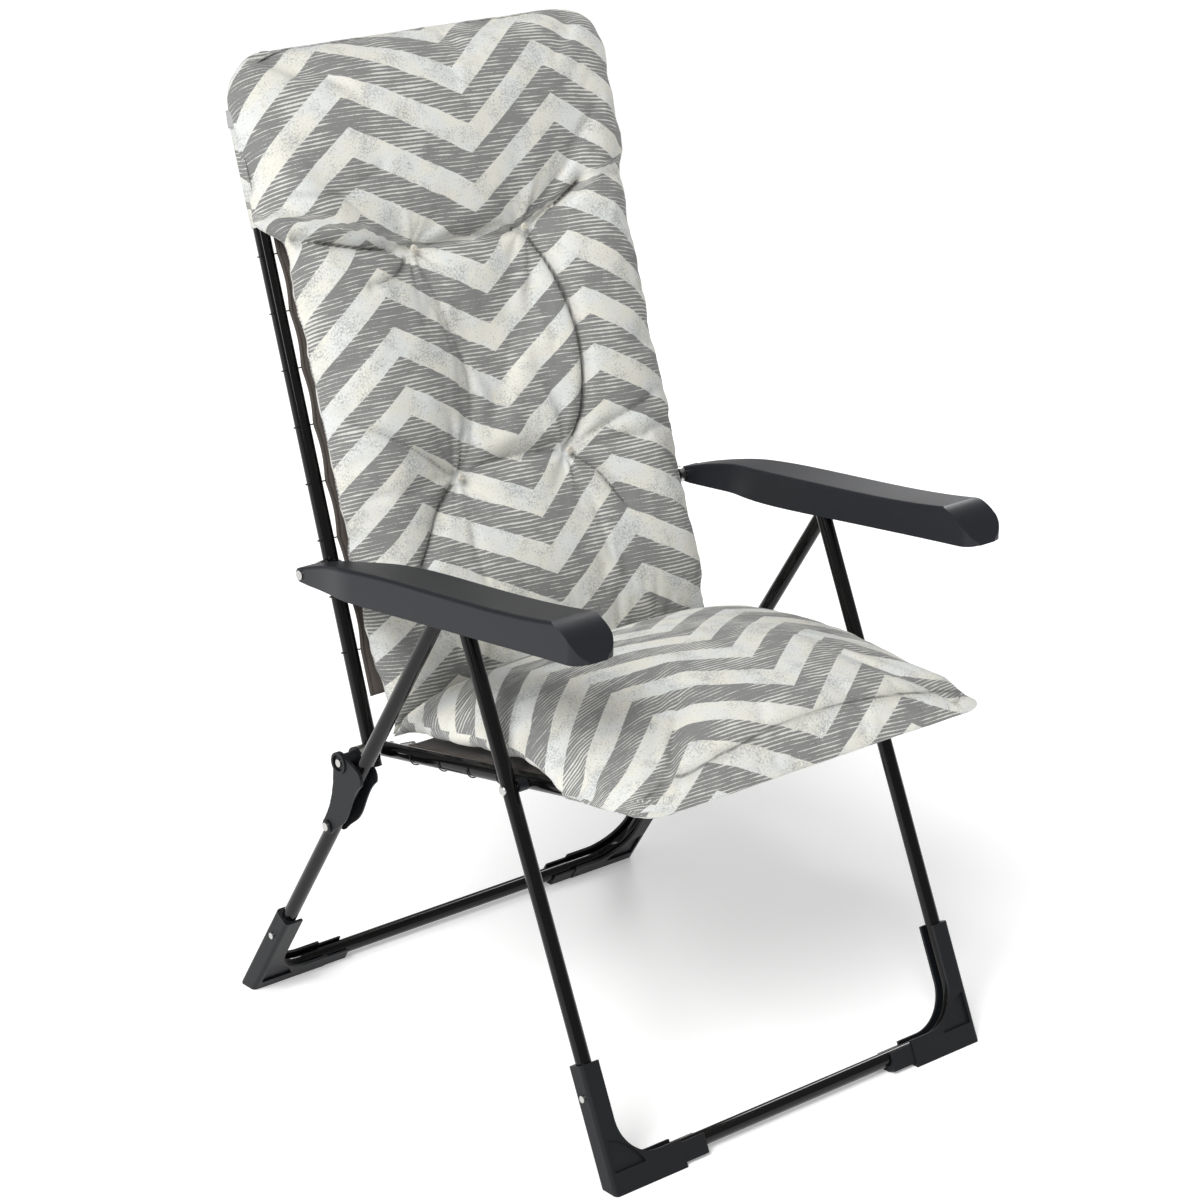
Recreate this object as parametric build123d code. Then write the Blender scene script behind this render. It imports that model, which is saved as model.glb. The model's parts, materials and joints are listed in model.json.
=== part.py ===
"""Reclining folding armchair: four bent tube frames, links, notched armrests and a quilted pad.

The chair faces -Y and is symmetric about the YZ plane. All sizes are in millimetres. The construction is
worked out in the side plane, with y = 0 where the front leg's axis meets the floor, and the finished chair
is then moved so that the centre of its footprint is the origin.
"""

from build123d import *
import os
from math import atan2, cos, degrees, radians, sin

os.makedirs("parts", exist_ok=True)

# Tubes and fasteners
TUBE_RADIUS = 9.0
TUBE_WALL = 1.2
HINGE_CLEARANCE = 0.05
RUNNING_GAP = 0.3
END_OVERHANG = 14.0

# Half widths of the four frames, to the tube axis
FRONT_LEG_X = 270.0
REAR_LEG_X = 291.0
BACK_X = 257.5
SEAT_X = 238.5

# Leans from the vertical
FRONT_LEAN = 24.09
REAR_LEAN = 32.70
BACK_LEAN = 18.24

# Lengths along the frames
FLOOR_BAR_HEIGHT = 14.2
LEG_TOP_REACH = 661.4
LEG_TOP_OVERHANG = 8.0
SEAT_PIVOT_REACH = 452.4
REAR_LEG_SPAN = 717.5
LINK_PIVOT_REACH = 326.8
SEAT_DEPTH = 454.5
BACK_HEIGHT = 788.0
ARM_PIVOT_REACH = 219.5
BEND_RADIUS = 60.0
BACK_BEND = 75.0
BACK_PIVOT_Y = 453.0
BACK_PIVOT_Z = 364.0

# Rivets and pins
LEG_PIN_RADIUS = 3.0
LEG_PIN_END_X = 311.0
SEAT_RIVET_RADIUS = 3.5
BACK_PIN_RADIUS = 4.0
ARM_PIN_RADIUS = 3.5
BACK_BUSH_RADIUS = 13.0
ARM_BUSH_RADIUS = 10.0
LINK_RIVET_RADIUS = 3.0

# Links
LINK_INNER_X = (279.5, 281.7)
LINK_OUTER_X = (300.3, 302.9)
LINK_BOSS_RADIUS = 13.0
LINK_LOBE_RADIUS = 9.8

# Feet
FOOT_HALF_THICKNESS = 12.6
FOOT_OUTSIDE = 13.0
FOOT_INSIDE = 11.5
FOOT_BORE = 9.2
FOOT_SLEEVE = 127.5
FOOT_PAD = 91.0
FOOT_TONGUE = 125.0
FOOT_SCREW_REACH = 91.0
FOOT_SCREW_RADIUS = 1.8
FOOT_CORNER_RADIUS = 8.0
FOOT_EDGE_RADIUS = 5.0
FOOT_WEB_STEP = 3.0

# Armrests
ARM_OUTER_X = 316.0
ARM_INNER_X = 258.2
ARM_WALL = 2.4
ARM_CROWN = 3.0
NOTCH_COUNT = 5
FIRST_NOTCH = 253.65
LAST_NOTCH = 389.96
RACK_X = (303.0, 313.6)
RACK_SAG = 1.6
LOBE_X = (275.0, 302.0)
ARM_EDGE_RADIUS = 4.0

# Slings and pad
SLING_THICKNESS = 1.4
SLING_GAP = 14.0
SLING_HEIGHT = 4.0
SEAT_SLING_START = 30.0
BACK_SLING_START = 64.0
HEM_RADIUS = 2.2
HOOK_WIRE = 1.1
HOOK_OPENING = 12.0
SEAT_HOOKS = 4
BACK_HOOKS = 8
SPRING_RADIUS = 3.6
SPRING_LENGTH = 26.0
PAD_HALF_WIDTH = 252.0
PAD_BOTTOM = 12.0
PAD_TOP = 68.0
PAD_LIP = 20.0
PAD_SEAM = 30.0
PAD_VALLEY = 53.0
TUFT_X = 82.0
LOWER_TUFTS = 285.0
UPPER_TUFTS = 555.0
TUFT_HEIGHT = 37.0
TUFT_RADIUS = 46.0
VALLEY_RADIUS = 70.0
PAD_GAP = 1.0
POCKET_START = 335.0
HOOD_START = 612.0
HOOD_TOP = 806.0
HOOD_HALF_WIDTH = 270.5
HOOD_THICKNESS = 2.0
LABEL_REACH = 737.0

SIDES = {"left": -1, "right": 1}


def direction(lean):
    """Unit (y, z) vector that leans towards +Y by this many degrees from the vertical."""
    return (sin(radians(lean)), cos(radians(lean)))


def along(start, heading, distance, offset=0.0):
    """Point at a distance along a heading, and an offset to its front or upper side."""
    return (
        start[0] + heading[0] * distance - heading[1] * offset,
        start[1] + heading[1] * distance + heading[0] * offset,
    )


# Pivots in the side plane, as (y, z)
front_up = direction(FRONT_LEAN)
leg_top = along((0.0, 0.0), front_up, LEG_TOP_REACH)
seat_pivot = along((0.0, 0.0), front_up, SEAT_PIVOT_REACH)
rear_down = (sin(radians(REAR_LEAN)), -cos(radians(REAR_LEAN)))
rear_foot = along(leg_top, rear_down, REAR_LEG_SPAN)
rear_up = (-rear_down[0], -rear_down[1])
link_pivot = along(rear_foot, rear_up, LINK_PIVOT_REACH)
back_pivot = (BACK_PIVOT_Y, BACK_PIVOT_Z)
back_up = direction(BACK_LEAN)
arm_pivot = along(back_pivot, back_up, ARM_PIVOT_REACH)
SEAT_RISE = degrees(atan2(seat_pivot[1] - back_pivot[1], back_pivot[0] - seat_pivot[0]))
seat_forward = (-cos(radians(SEAT_RISE)), sin(radians(SEAT_RISE)))
arm_span = ((leg_top[0] - arm_pivot[0]) ** 2 + (leg_top[1] - arm_pivot[1]) ** 2) ** 0.5
arm_forward = ((leg_top[0] - arm_pivot[0]) / arm_span, (leg_top[1] - arm_pivot[1]) / arm_span)


def back_point(reach, height=0.0):
    """Side-plane point on the back: reach up from the pivot, height in front of the tube axis."""
    return along(back_pivot, back_up, reach, height)


def seat_point(reach, height=0.0):
    """Side-plane point on the seat: reach forward from the pivot, height above the tube axis."""
    return along(back_pivot, seat_forward, reach, -height)


def round_bar(path, radius):
    """Solid bar of circular section along a path."""
    return sweep(Plane(origin=path @ 0, z_dir=path % 0) * Circle(radius), path=path)


def bent_tube(points, bend=BEND_RADIUS):
    """Hollow tube through the points, with round bends."""
    path = FilletPolyline(*points, radius=bend)
    return round_bar(path, TUBE_RADIUS) - round_bar(path, TUBE_RADIUS - TUBE_WALL)


def u_frame(half_width, open_end, closed_end, bend=BEND_RADIUS):
    """U-shaped tube between two side-plane points; the bar across is at the closed end."""
    points = [
        (-half_width, *open_end),
        (-half_width, *closed_end),
        (half_width, *closed_end),
        (half_width, *open_end),
    ]
    return bent_tube(points, bend)


def cross_cylinder(centre, radius, x_start, x_end, side):
    """Cylinder parallel to X about a side-plane point, on one side of the chair."""
    low = min(side * x_start, side * x_end)
    return Pos(low, *centre) * extrude(Plane.YZ * Circle(radius), abs(x_end - x_start))


def on_both_sides(make):
    """Group of the two solids that a function makes for the left and the right side."""
    return Compound(children=[make(side) for side in SIDES.values()])


def drill_both(shape, centre, radius, x_start, x_end):
    """Remove a hole parallel to X through the left and the right tube of a frame."""
    for side in SIDES.values():
        shape -= cross_cylinder(centre, radius, x_start, x_end, side)
    return shape


# ---------------------------------------------------------------- feet


def foot_plane(base, heading, x_axis_side, half_width):
    """Plane in a leg frame: origin at the corner of the axes, +X inward, +Y up the leg."""
    return Plane(
        origin=(x_axis_side * half_width, *base),
        x_dir=(-x_axis_side, 0, 0),
        z_dir=Vector(-x_axis_side, 0, 0).cross(Vector(0, *heading)),
    )


def foot_outline():
    """Outside shape of a foot in its leg frame: sleeve, rounded corner, pad."""
    deep = -2 * FLOOR_BAR_HEIGHT
    inner_bend = BEND_RADIUS - FOOT_INSIDE
    outline = Polyline(
        (-FOOT_OUTSIDE, FOOT_SLEEVE),
        (-FOOT_OUTSIDE, deep),
        (FOOT_PAD, deep),
        (FOOT_PAD, FOOT_INSIDE),
        (FOOT_INSIDE, FOOT_INSIDE),
        (FOOT_INSIDE, FOOT_SLEEVE),
        (-FOOT_OUTSIDE, FOOT_SLEEVE),
    )
    face = make_face(outline)
    inner_corner = face.vertices().sort_by_distance((FOOT_INSIDE, FOOT_INSIDE, 0))[0]
    return fillet(inner_corner, inner_bend)


def foot_recess():
    """Curved triangular recess beside the rounded corner of a foot."""
    return make_face(
        [
            Line((-6, 42), (-6, 4)),
            Line((-6, 4), (38, 4)),
            RadiusArc((38, 4), (-6, 42), -70),
        ]
    )


def make_foot(base, heading, side, half_width):
    """Corner foot that clips round a leg frame's bend and stands flat on the floor."""
    plane = foot_plane(base, heading, side, half_width)
    body = extrude(foot_outline(), FOOT_HALF_THICKNESS, both=True)
    outer_edges = body.edges().filter_by(Axis.Z).sort_by(Axis.X)[:2]
    floor_side = outer_edges.sort_by(Axis.Y)[0]
    body = fillet(floor_side, FOOT_CORNER_RADIUS)
    upright = body.edges().filter_by(Axis.Y).sort_by(Axis.X)[:2]
    body = fillet(upright, FOOT_EDGE_RADIUS)
    tongue = Pos((FOOT_TONGUE + FOOT_PAD) / 2 - 1, -4, 0) * Box(
        FOOT_TONGUE - FOOT_PAD + 2, 2 * FOOT_INSIDE, 2 * FOOT_INSIDE
    )
    body += tongue
    path = FilletPolyline((0, 2 * FOOT_SLEEVE), (0, 0), (2 * FOOT_TONGUE, 0), radius=BEND_RADIUS)
    bore = round_bar(path, FOOT_BORE)
    inside = make_face(
        FilletPolyline(
            (0, 2 * FOOT_SLEEVE),
            (0, 0),
            (2 * FOOT_TONGUE, 0),
            (2 * FOOT_TONGUE, 2 * FOOT_SLEEVE),
            radius=BEND_RADIUS,
            close=True,
        )
    )
    body -= bore
    body -= extrude(inside, FOOT_BORE, both=True)
    web = FOOT_HALF_THICKNESS - FOOT_WEB_STEP
    for face_side in (1, -1):
        body -= Pos(0, 0, face_side * (web + 5)) * extrude(foot_recess(), 5, both=True)
    foot = plane * body
    floor_cut = Pos(0, base[0], -50) * Box(2000, 600, 100)
    return foot - floor_cut


def foot_screw(base, heading, side, half_width):
    """Pan-head screw through the outer wall of a foot into the leg tube."""
    centre = along(base, heading, FOOT_SCREW_REACH)
    head = cross_cylinder(centre, 4.0, half_width + FOOT_OUTSIDE, half_width + FOOT_OUTSIDE + 2.2, side)
    shank = cross_cylinder(centre, FOOT_SCREW_RADIUS, half_width + 2.0, half_width + FOOT_OUTSIDE, side)
    return head + shank


def foot_with_hole(base, heading, side, half_width):
    """Foot with the hole for its screw."""
    centre = along(base, heading, FOOT_SCREW_REACH)
    hole_radius = FOOT_SCREW_RADIUS + HINGE_CLEARANCE
    hole = cross_cylinder(centre, hole_radius, half_width, half_width + 30, side)
    return make_foot(base, heading, side, half_width) - hole


# ---------------------------------------------------------------- leg frames

front_base = along((0.0, 0.0), front_up, FLOOR_BAR_HEIGHT / front_up[1])
rear_base = along(rear_foot, rear_up, (FLOOR_BAR_HEIGHT - rear_foot[1]) / rear_up[1])


def make_front_legs():
    """Front leg frame with its pivot holes."""
    top = along(leg_top, front_up, LEG_TOP_OVERHANG)
    frame = u_frame(FRONT_LEG_X, top, front_base)
    screw = along(front_base, front_up, FOOT_SCREW_REACH)
    frame = drill_both(frame, leg_top, LEG_PIN_RADIUS + HINGE_CLEARANCE, 255, 290)
    frame = drill_both(frame, seat_pivot, SEAT_RIVET_RADIUS + HINGE_CLEARANCE, 255, 290)
    return drill_both(frame, screw, 1.8 + HINGE_CLEARANCE, FRONT_LEG_X, 300)


def make_rear_legs():
    """Rear leg frame with its pivot holes."""
    top = along(leg_top, rear_up, LEG_TOP_OVERHANG)
    frame = u_frame(REAR_LEG_X, top, rear_base)
    screw = along(rear_base, rear_up, FOOT_SCREW_REACH)
    frame = drill_both(frame, leg_top, LEG_PIN_RADIUS + HINGE_CLEARANCE, 275, 310)
    frame = drill_both(frame, link_pivot, LINK_RIVET_RADIUS + HINGE_CLEARANCE, 275, 310)
    return drill_both(frame, screw, 1.8 + HINGE_CLEARANCE, REAR_LEG_X, 320)


def leg_top_pin(side):
    """Pin that joins the leg tops; its outer end carries the armrest's rack."""
    return cross_cylinder(leg_top, LEG_PIN_RADIUS, 261.6, LEG_PIN_END_X, side)


def leg_top_washer(side):
    """Washer between the front and the rear leg."""
    ring = cross_cylinder(leg_top, 7.5, 279.2, 281.7, side)
    return ring - cross_cylinder(leg_top, LEG_PIN_RADIUS + HINGE_CLEARANCE, 270, 290, side)


def seat_rivet(side):
    """Rivet through the seat tube, the spacer and the front leg, with a domed outer head."""
    shank = cross_cylinder(seat_pivot, SEAT_RIVET_RADIUS, 229.3, 279.0, side)
    inner_head = cross_cylinder(seat_pivot, 6.0, 227.3, 229.3, side)
    outer_head = cross_cylinder(seat_pivot, 5.5, 279.0, 281.3, side)
    rim = outer_head.edges().filter_by(GeomType.CIRCLE).sort_by(Axis.X)
    outer_head = fillet(rim[-1] if side > 0 else rim[0], 1.8)
    return shank + inner_head + outer_head


def seat_spacer(side):
    """Tubular spacer between the seat tube and the front leg."""
    ring = cross_cylinder(seat_pivot, 7.0, 247.8, 261.0, side)
    return ring - cross_cylinder(seat_pivot, SEAT_RIVET_RADIUS + HINGE_CLEARANCE, 240, 270, side)


# ---------------------------------------------------------------- links


def link_outline():
    """Outline of a link plate, from the boss at the back pivot down to the lobe at the rear leg."""
    top = back_pivot
    low = link_pivot
    boss = Pos(*top) * Circle(LINK_BOSS_RADIUS)
    lobe = Pos(*low) * Circle(LINK_LOBE_RADIUS)
    blade = make_face(
        [
            Spline(
                (top[0] + 12.2, top[1] - 4.5),
                (top[0] + 14.5, top[1] - 32),
                (top[0] + 26, top[1] - 66),
                (low[0] + 9.3, low[1] + 3.0),
            ),
            Line((low[0] + 9.3, low[1] + 3.0), (low[0] - 7, low[1] - 6.8)),
            Spline(
                (low[0] - 7, low[1] - 6.8),
                (low[0] - 17, low[1] + 2.5),
                (low[0] - 33, low[1] + 16),
                (low[0] - 46, low[1] + 39),
                (top[0] - 40, top[1] - 17),
            ),
            RadiusArc((top[0] - 40, top[1] - 17), (top[0] - 33, top[1] + 1), 14),
            Line((top[0] - 33, top[1] + 1), (top[0] - 7, top[1] + 10.9)),
            Line((top[0] - 7, top[1] + 10.9), (top[0] + 12.2, top[1] - 4.5)),
        ]
    )
    return boss + lobe + blade


def scale_region(step):
    """Region below one of the curved diagonal steps on a link's outer face."""
    shift = 17.0 * step
    top = back_pivot
    return make_face(
        [
            ThreePointArc(
                (top[0] + 40, top[1] + 4 - shift),
                (top[0] - 10, top[1] - 24 - shift),
                (top[0] - 70, top[1] - 104 - shift),
            ),
            Line((top[0] - 70, top[1] - 104 - shift), (top[0] + 40, top[1] - 220)),
            Line((top[0] + 40, top[1] - 220), (top[0] + 40, top[1] + 4 - shift)),
        ]
    )


def link_plate(x_range, side):
    """Flat link plate with its two rivet holes."""
    low = min(side * x_range[0], side * x_range[1])
    plate = Pos(low, 0, 0) * extrude(Plane.YZ * link_outline(), x_range[1] - x_range[0])
    for centre in (back_pivot, link_pivot):
        plate -= cross_cylinder(centre, LINK_RIVET_RADIUS + HINGE_CLEARANCE, 270, 320, side)
    return plate


def link_inner_plate(side):
    """Inner plate of a link."""
    return link_plate(LINK_INNER_X, side)


def link_outer_plate(side):
    """Outer plate of a link: a raised ring boss, and stepped scales down its face."""
    plate = link_plate((LINK_OUTER_X[0], LINK_OUTER_X[1] + 1.5), side)
    face_x = LINK_OUTER_X[1] + 1.5
    keep = cross_cylinder(link_pivot, 7.5, 299, 320, side)
    for step in range(4):
        depth = 0.55 * (step + 1)
        cutter = Pos(min(side * (face_x - depth), side * face_x), 0, 0) * extrude(
            Plane.YZ * scale_region(step), depth
        )
        plate -= cutter - keep
    boss = cross_cylinder(back_pivot, LINK_BOSS_RADIUS, face_x, face_x + 1.6, side)
    recess = cross_cylinder(back_pivot, 9.7, face_x - 1.0, face_x + 3.0, side)
    return plate + boss - recess


def link_spacer(side):
    """Bush that holds the two plates apart at the back pivot."""
    ring = cross_cylinder(back_pivot, 9.0, LINK_INNER_X[1], LINK_OUTER_X[0], side)
    return ring - cross_cylinder(back_pivot, LINK_RIVET_RADIUS + HINGE_CLEARANCE, 270, 320, side)


def link_rivets(side):
    """Upper and lower rivet of a link."""
    face_x = LINK_OUTER_X[1] + 1.5
    upper = cross_cylinder(back_pivot, LINK_RIVET_RADIUS, LINK_INNER_X[0] + 0.1, face_x - 1.0, side)
    upper += cross_cylinder(back_pivot, 4.6, face_x - 1.0, face_x + 1.4, side)
    lower = cross_cylinder(link_pivot, LINK_RIVET_RADIUS, LINK_INNER_X[0] + 0.1, face_x, side)
    lower += cross_cylinder(link_pivot, 5.0, face_x, face_x + 2.0, side)
    return Compound(children=[upper, lower])


# ---------------------------------------------------------------- seat and back frames


def make_seat_frame():
    """Seat frame with holes for the front rivets and the rear pins."""
    frame = u_frame(SEAT_X, seat_point(-END_OVERHANG), seat_point(SEAT_DEPTH))
    frame = drill_both(frame, seat_pivot, SEAT_RIVET_RADIUS + HINGE_CLEARANCE, 220, 255)
    return drill_both(frame, back_pivot, BACK_PIN_RADIUS + HINGE_CLEARANCE, 220, 255)


def make_back_frame():
    """Back frame with holes for the rear pins and the armrest pins."""
    frame = u_frame(BACK_X, back_point(-END_OVERHANG), back_point(BACK_HEIGHT), bend=BACK_BEND)
    frame = drill_both(frame, back_pivot, BACK_PIN_RADIUS + HINGE_CLEARANCE, 240, 275)
    return drill_both(frame, arm_pivot, ARM_PIN_RADIUS + HINGE_CLEARANCE, 240, 275)


def end_plug(half_width, point, heading, side):
    """Plastic plug in the open end of a tube, with a thin rim; the heading points out of the tube."""
    plane = Plane(origin=(side * half_width, *point), z_dir=(0, *heading))
    stem = extrude(plane * Circle(TUBE_RADIUS - TUBE_WALL - HINGE_CLEARANCE), -8)
    rim = extrude(plane * Circle(TUBE_RADIUS), 2)
    return stem + rim


def back_pin(side):
    """Pin through the seat tube, the back tube and the hinge bush."""
    shank = cross_cylinder(back_pivot, BACK_PIN_RADIUS, 229.3, 279.2, side)
    return shank + cross_cylinder(back_pivot, 6.5, 227.1, 229.3, side)


def hinge_bush(side):
    """Steel bush between the back tube and the link."""
    ring = cross_cylinder(back_pivot, BACK_BUSH_RADIUS, 266.8, 279.2, side)
    return ring - cross_cylinder(back_pivot, BACK_PIN_RADIUS + HINGE_CLEARANCE, 260, 290, side)


def arm_pin(side):
    """Pin through the back tube, the armrest bush and the armrest's rear lobe."""
    shank = cross_cylinder(arm_pivot, ARM_PIN_RADIUS, 248.3, 302.3, side)
    inner_head = cross_cylinder(arm_pivot, 6.0, 246.3, 248.3, side)
    return shank + inner_head + cross_cylinder(arm_pivot, 5.6, 302.3, 304.4, side)


def arm_bush(side):
    """Steel bush between the back tube and an armrest."""
    ring = cross_cylinder(arm_pivot, ARM_BUSH_RADIUS, 266.9, 274.6, side)
    return ring - cross_cylinder(arm_pivot, ARM_PIN_RADIUS + HINGE_CLEARANCE, 260, 280, side)


# ---------------------------------------------------------------- slings, hooks and springs


def frame_plane(point_at, height):
    """Plane of a seat or back frame: +Y along the frame, +Z towards the pad, at a height over the axis."""
    start = Vector(0, *point_at(0, height))
    heading = Vector(0, *point_at(1, height)) - start
    upward = Vector(0, *point_at(0, height + 1)) - start
    return Plane(origin=start, x_dir=heading.cross(upward), z_dir=upward)


def make_sling(point_at, tube_x, start, bar_reach, bend):
    """Fabric panel inside a U frame, with a rolled hem that follows the frame at a constant gap."""
    edge = tube_x - SLING_GAP
    far = bar_reach - SLING_GAP
    corners = ((-edge, start), (-edge, far), (edge, far), (edge, start))
    hem_path = FilletPolyline(*corners, radius=bend - SLING_GAP)
    outline = make_face([*hem_path.edges(), Line((edge, start), (-edge, start))])
    plane = frame_plane(point_at, SLING_HEIGHT)
    panel = extrude(outline, SLING_THICKNESS / 2, both=True)
    return plane * (panel + round_bar(hem_path, HEM_RADIUS))


def wire_hook(point_at, tube_x, place, side):
    """C-shaped wire hook from a sling's hem round the side tube."""
    heading = Vector(0, *point_at(1)) - Vector(0, *point_at(0))
    plane = Plane(origin=(side * tube_x, *point_at(place)), x_dir=(-side, 0, 0), z_dir=heading * -side)
    radius = TUBE_RADIUS + HOOK_WIRE + HINGE_CLEARANCE
    return plane * round_bar(CenterArc((0, 0), radius, -HOOK_OPENING, 180 + 2 * HOOK_OPENING), HOOK_WIRE)


def make_hooks(point_at, tube_x, first, last, count):
    """Two rows of evenly spaced hooks, one on each side tube."""
    step = (last - first) / (count - 1)
    return Compound(
        children=[
            wire_hook(point_at, tube_x, first + step * index, side)
            for side in SIDES.values()
            for index in range(count)
        ]
    )


def corner_spring(side):
    """Coil spring, as a closed sleeve, from the seat sling's rear corner towards the seat tube's end."""
    x = side * (SEAT_X - SLING_GAP - 8)
    start = Vector(x, *seat_point(SEAT_SLING_START - 2, SLING_HEIGHT))
    end = Vector(x, *seat_point(SEAT_SLING_START - 2 - SPRING_LENGTH, -2))
    plane = Plane(origin=start, z_dir=end - start)
    return extrude(plane * Circle(SPRING_RADIUS), (end - start).length)


# ---------------------------------------------------------------- armrests


def arm_profile(inset, drop=0.0):
    """Side outline of an armrest as a face in (y, z); insets its top and nose, and drops its lower edge."""
    top = Spline(
        (arm_pivot[0], arm_pivot[1] + 8.5 - inset),
        (424, 609.0 - inset),
        (314, 624.0 - inset),
        (174, 637.5 - inset),
        (62 + inset, 653.5 - inset),
    )
    nose = ThreePointArc(
        (62 + inset, 653.5 - inset), (35 + 0.8 * inset, 643 - 0.6 * inset), (15 + inset, 616)
    )
    low_points = ((15 + inset, 616), (75, 610), (244, 591.5), (426, 572), (505, 564.5))
    low = Spline(*((y, z - drop) for y, z in low_points))
    rear = Line((505, 564.5 - drop), (arm_pivot[0], arm_pivot[1] - 8.5))
    end = RadiusArc((arm_pivot[0], arm_pivot[1] - 8.5), (arm_pivot[0], arm_pivot[1] + 8.5 - inset), -8.5)
    edges = [top, nose, low, rear, end]
    if drop:
        edges.append(Line((15 + inset, 616), (15 + inset, 616 - drop)))
    return make_face(edges)


def arm_plan(wall):
    """Plan outline of an armrest as a face in (x, y), moved in by the wall thickness."""
    rear_end = 540
    outer = ARM_OUTER_X - wall
    inner = ARM_INNER_X + wall
    front = 13 + wall
    return make_face(
        [
            Line((LOBE_X[0] + wall, rear_end), (LOBE_X[1] - wall, rear_end)),
            Spline(
                (LOBE_X[1] - wall, rear_end),
                (outer - 7, 458),
                (outer, 405),
                tangents=[(0.02, -1), (0, -1)],
            ),
            Line((outer, 405), (outer, front + 20)),
            ThreePointArc((outer, front + 20), (outer - 4, front + 9), (outer - 14, front + 4)),
            ThreePointArc((outer - 14, front + 4), ((outer + inner) / 2, front), (inner + 14, front + 4)),
            ThreePointArc((inner + 14, front + 4), (inner + 4, front + 9), (inner, front + 20)),
            Line((inner, front + 20), (inner, 283)),
            Spline(
                (inner, 283),
                (ARM_INNER_X + 9.6 + wall, 400),
                (LOBE_X[0] + wall, 442),
                tangents=[(0, 1), (0, 1)],
            ),
            Line((LOBE_X[0] + wall, 442), (LOBE_X[0] + wall, rear_end)),
        ]
    )


def arm_cavity():
    """Hollow inside of the right armrest, open underneath."""
    inside = extrude(Plane.YZ * arm_profile(ARM_CROWN, drop=30), 400)
    ahead_of_lobe = Pos(200, 474 - 500, 600) * Box(400, 1000, 400)
    return inside & (Pos(0, 0, 500) * extrude(arm_plan(ARM_WALL), 200)) & ahead_of_lobe


def make_armrest():
    """Right armrest: a moulded shell with a crowned top, open underneath."""
    body = extrude(Plane.YZ * arm_profile(0), 400) & (Pos(0, 0, 500) * extrude(arm_plan(0), 200))
    rim = [edge for edge in body.edges() if is_top_edge(edge)]
    body = fillet(rim, ARM_EDGE_RADIUS)
    body -= arm_cavity()
    body -= cross_cylinder(arm_pivot, 6.2, LOBE_X[1] + 0.1, 330, 1)
    return body - cross_cylinder(arm_pivot, ARM_PIN_RADIUS + HINGE_CLEARANCE, 260, 320, 1)


def is_top_edge(edge):
    """True for the long edges between an armrest's top and its two sides."""
    middle = edge.position_at(0.5)
    over_pin_line = (middle.Z - arm_pivot[1]) * -arm_forward[0] + (middle.Y - arm_pivot[0]) * arm_forward[1]
    return over_pin_line > 5 and edge.length > 60


def make_rack():
    """Right armrest's notched rack, which rests on the leg-top pin in any of its notches."""
    step = (LAST_NOTCH - FIRST_NOTCH) / (NOTCH_COUNT - 1)
    notch = LEG_PIN_RADIUS + RUNNING_GAP
    middle = (FIRST_NOTCH + LAST_NOTCH) / 2
    rear = FIRST_NOTCH - notch
    front = LAST_NOTCH + notch
    face = make_face(
        [
            Polyline((rear, 3.7), (rear, -4), (rear - 6, -4), (rear - 6, 30), (front + 6, 30)),
            Polyline((front + 6, 30), (front + 6, -4), (front, -4), (front, 3.7)),
            ThreePointArc((front, 3.7), (middle, -RACK_SAG), (rear, 3.7)),
        ]
    )
    for index in range(NOTCH_COUNT):
        face -= Pos(FIRST_NOTCH + index * step, 0) * Circle(notch)
    heading = Vector(0, *arm_forward)
    plane = Plane(origin=(RACK_X[0], *arm_pivot), x_dir=heading, z_dir=(-1, 0, 0))
    return (plane * extrude(face, -(RACK_X[1] - RACK_X[0]))) & arm_cavity()


# ---------------------------------------------------------------- pad


def beyond_crease(side):
    """Half space beyond the plane where the two pads meet: +1 on the back's side, -1 on the seat's."""
    half_angle = radians((90 + BACK_LEAN - SEAT_RISE) / 2)
    heading = (
        seat_forward[0] * cos(half_angle) + sin(radians(SEAT_RISE)) * sin(half_angle),
        seat_forward[1] * cos(half_angle) + cos(radians(SEAT_RISE)) * sin(half_angle),
    )
    away = Vector(0, heading[1], -heading[0]) * side
    origin = Vector(0, *back_pivot) - away * (PAD_GAP / 2)
    plane = Plane(origin=origin, x_dir=(1, 0, 0), z_dir=away)
    return plane * extrude(Rectangle(1000, 1000), 500)


def cushion(point_at, outline):
    """Cushion from its side outline in (reach, height), with side edges rounded towards a mid seam."""
    edge = PAD_HALF_WIDTH
    shoulder = edge - 50
    foot = edge - 16
    section = make_face(
        [
            ThreePointArc((edge, PAD_SEAM), (edge - 13, PAD_SEAM + 20), (shoulder, PAD_TOP - 10)),
            ThreePointArc((shoulder, PAD_TOP - 10), (0, PAD_TOP + 3), (-shoulder, PAD_TOP - 10)),
            ThreePointArc((-shoulder, PAD_TOP - 10), (13 - edge, PAD_SEAM + 20), (-edge, PAD_SEAM)),
            ThreePointArc((-edge, PAD_SEAM), (5 - edge, PAD_BOTTOM + 6), (-foot, PAD_BOTTOM)),
            Polyline((-foot, PAD_BOTTOM), (-foot, -PAD_TOP), (foot, -PAD_TOP), (foot, PAD_BOTTOM)),
            ThreePointArc((foot, PAD_BOTTOM), (edge - 5, PAD_BOTTOM + 6), (edge, PAD_SEAM)),
        ]
    )
    heading = Vector(0, *point_at(1)) - Vector(0, *point_at(0))
    upward = Vector(0, *point_at(0, 1)) - Vector(0, *point_at(0))
    side_plane = Plane(origin=(0, *point_at(0)), x_dir=heading, z_dir=heading.cross(upward))
    end_plane = Plane(origin=(0, *point_at(0)), x_dir=upward.cross(heading), z_dir=heading)
    body = side_plane * extrude(outline, PAD_HALF_WIDTH + 1, both=True)
    return body & (end_plane * extrude(section, BACK_HEIGHT + 100, both=True))


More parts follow.
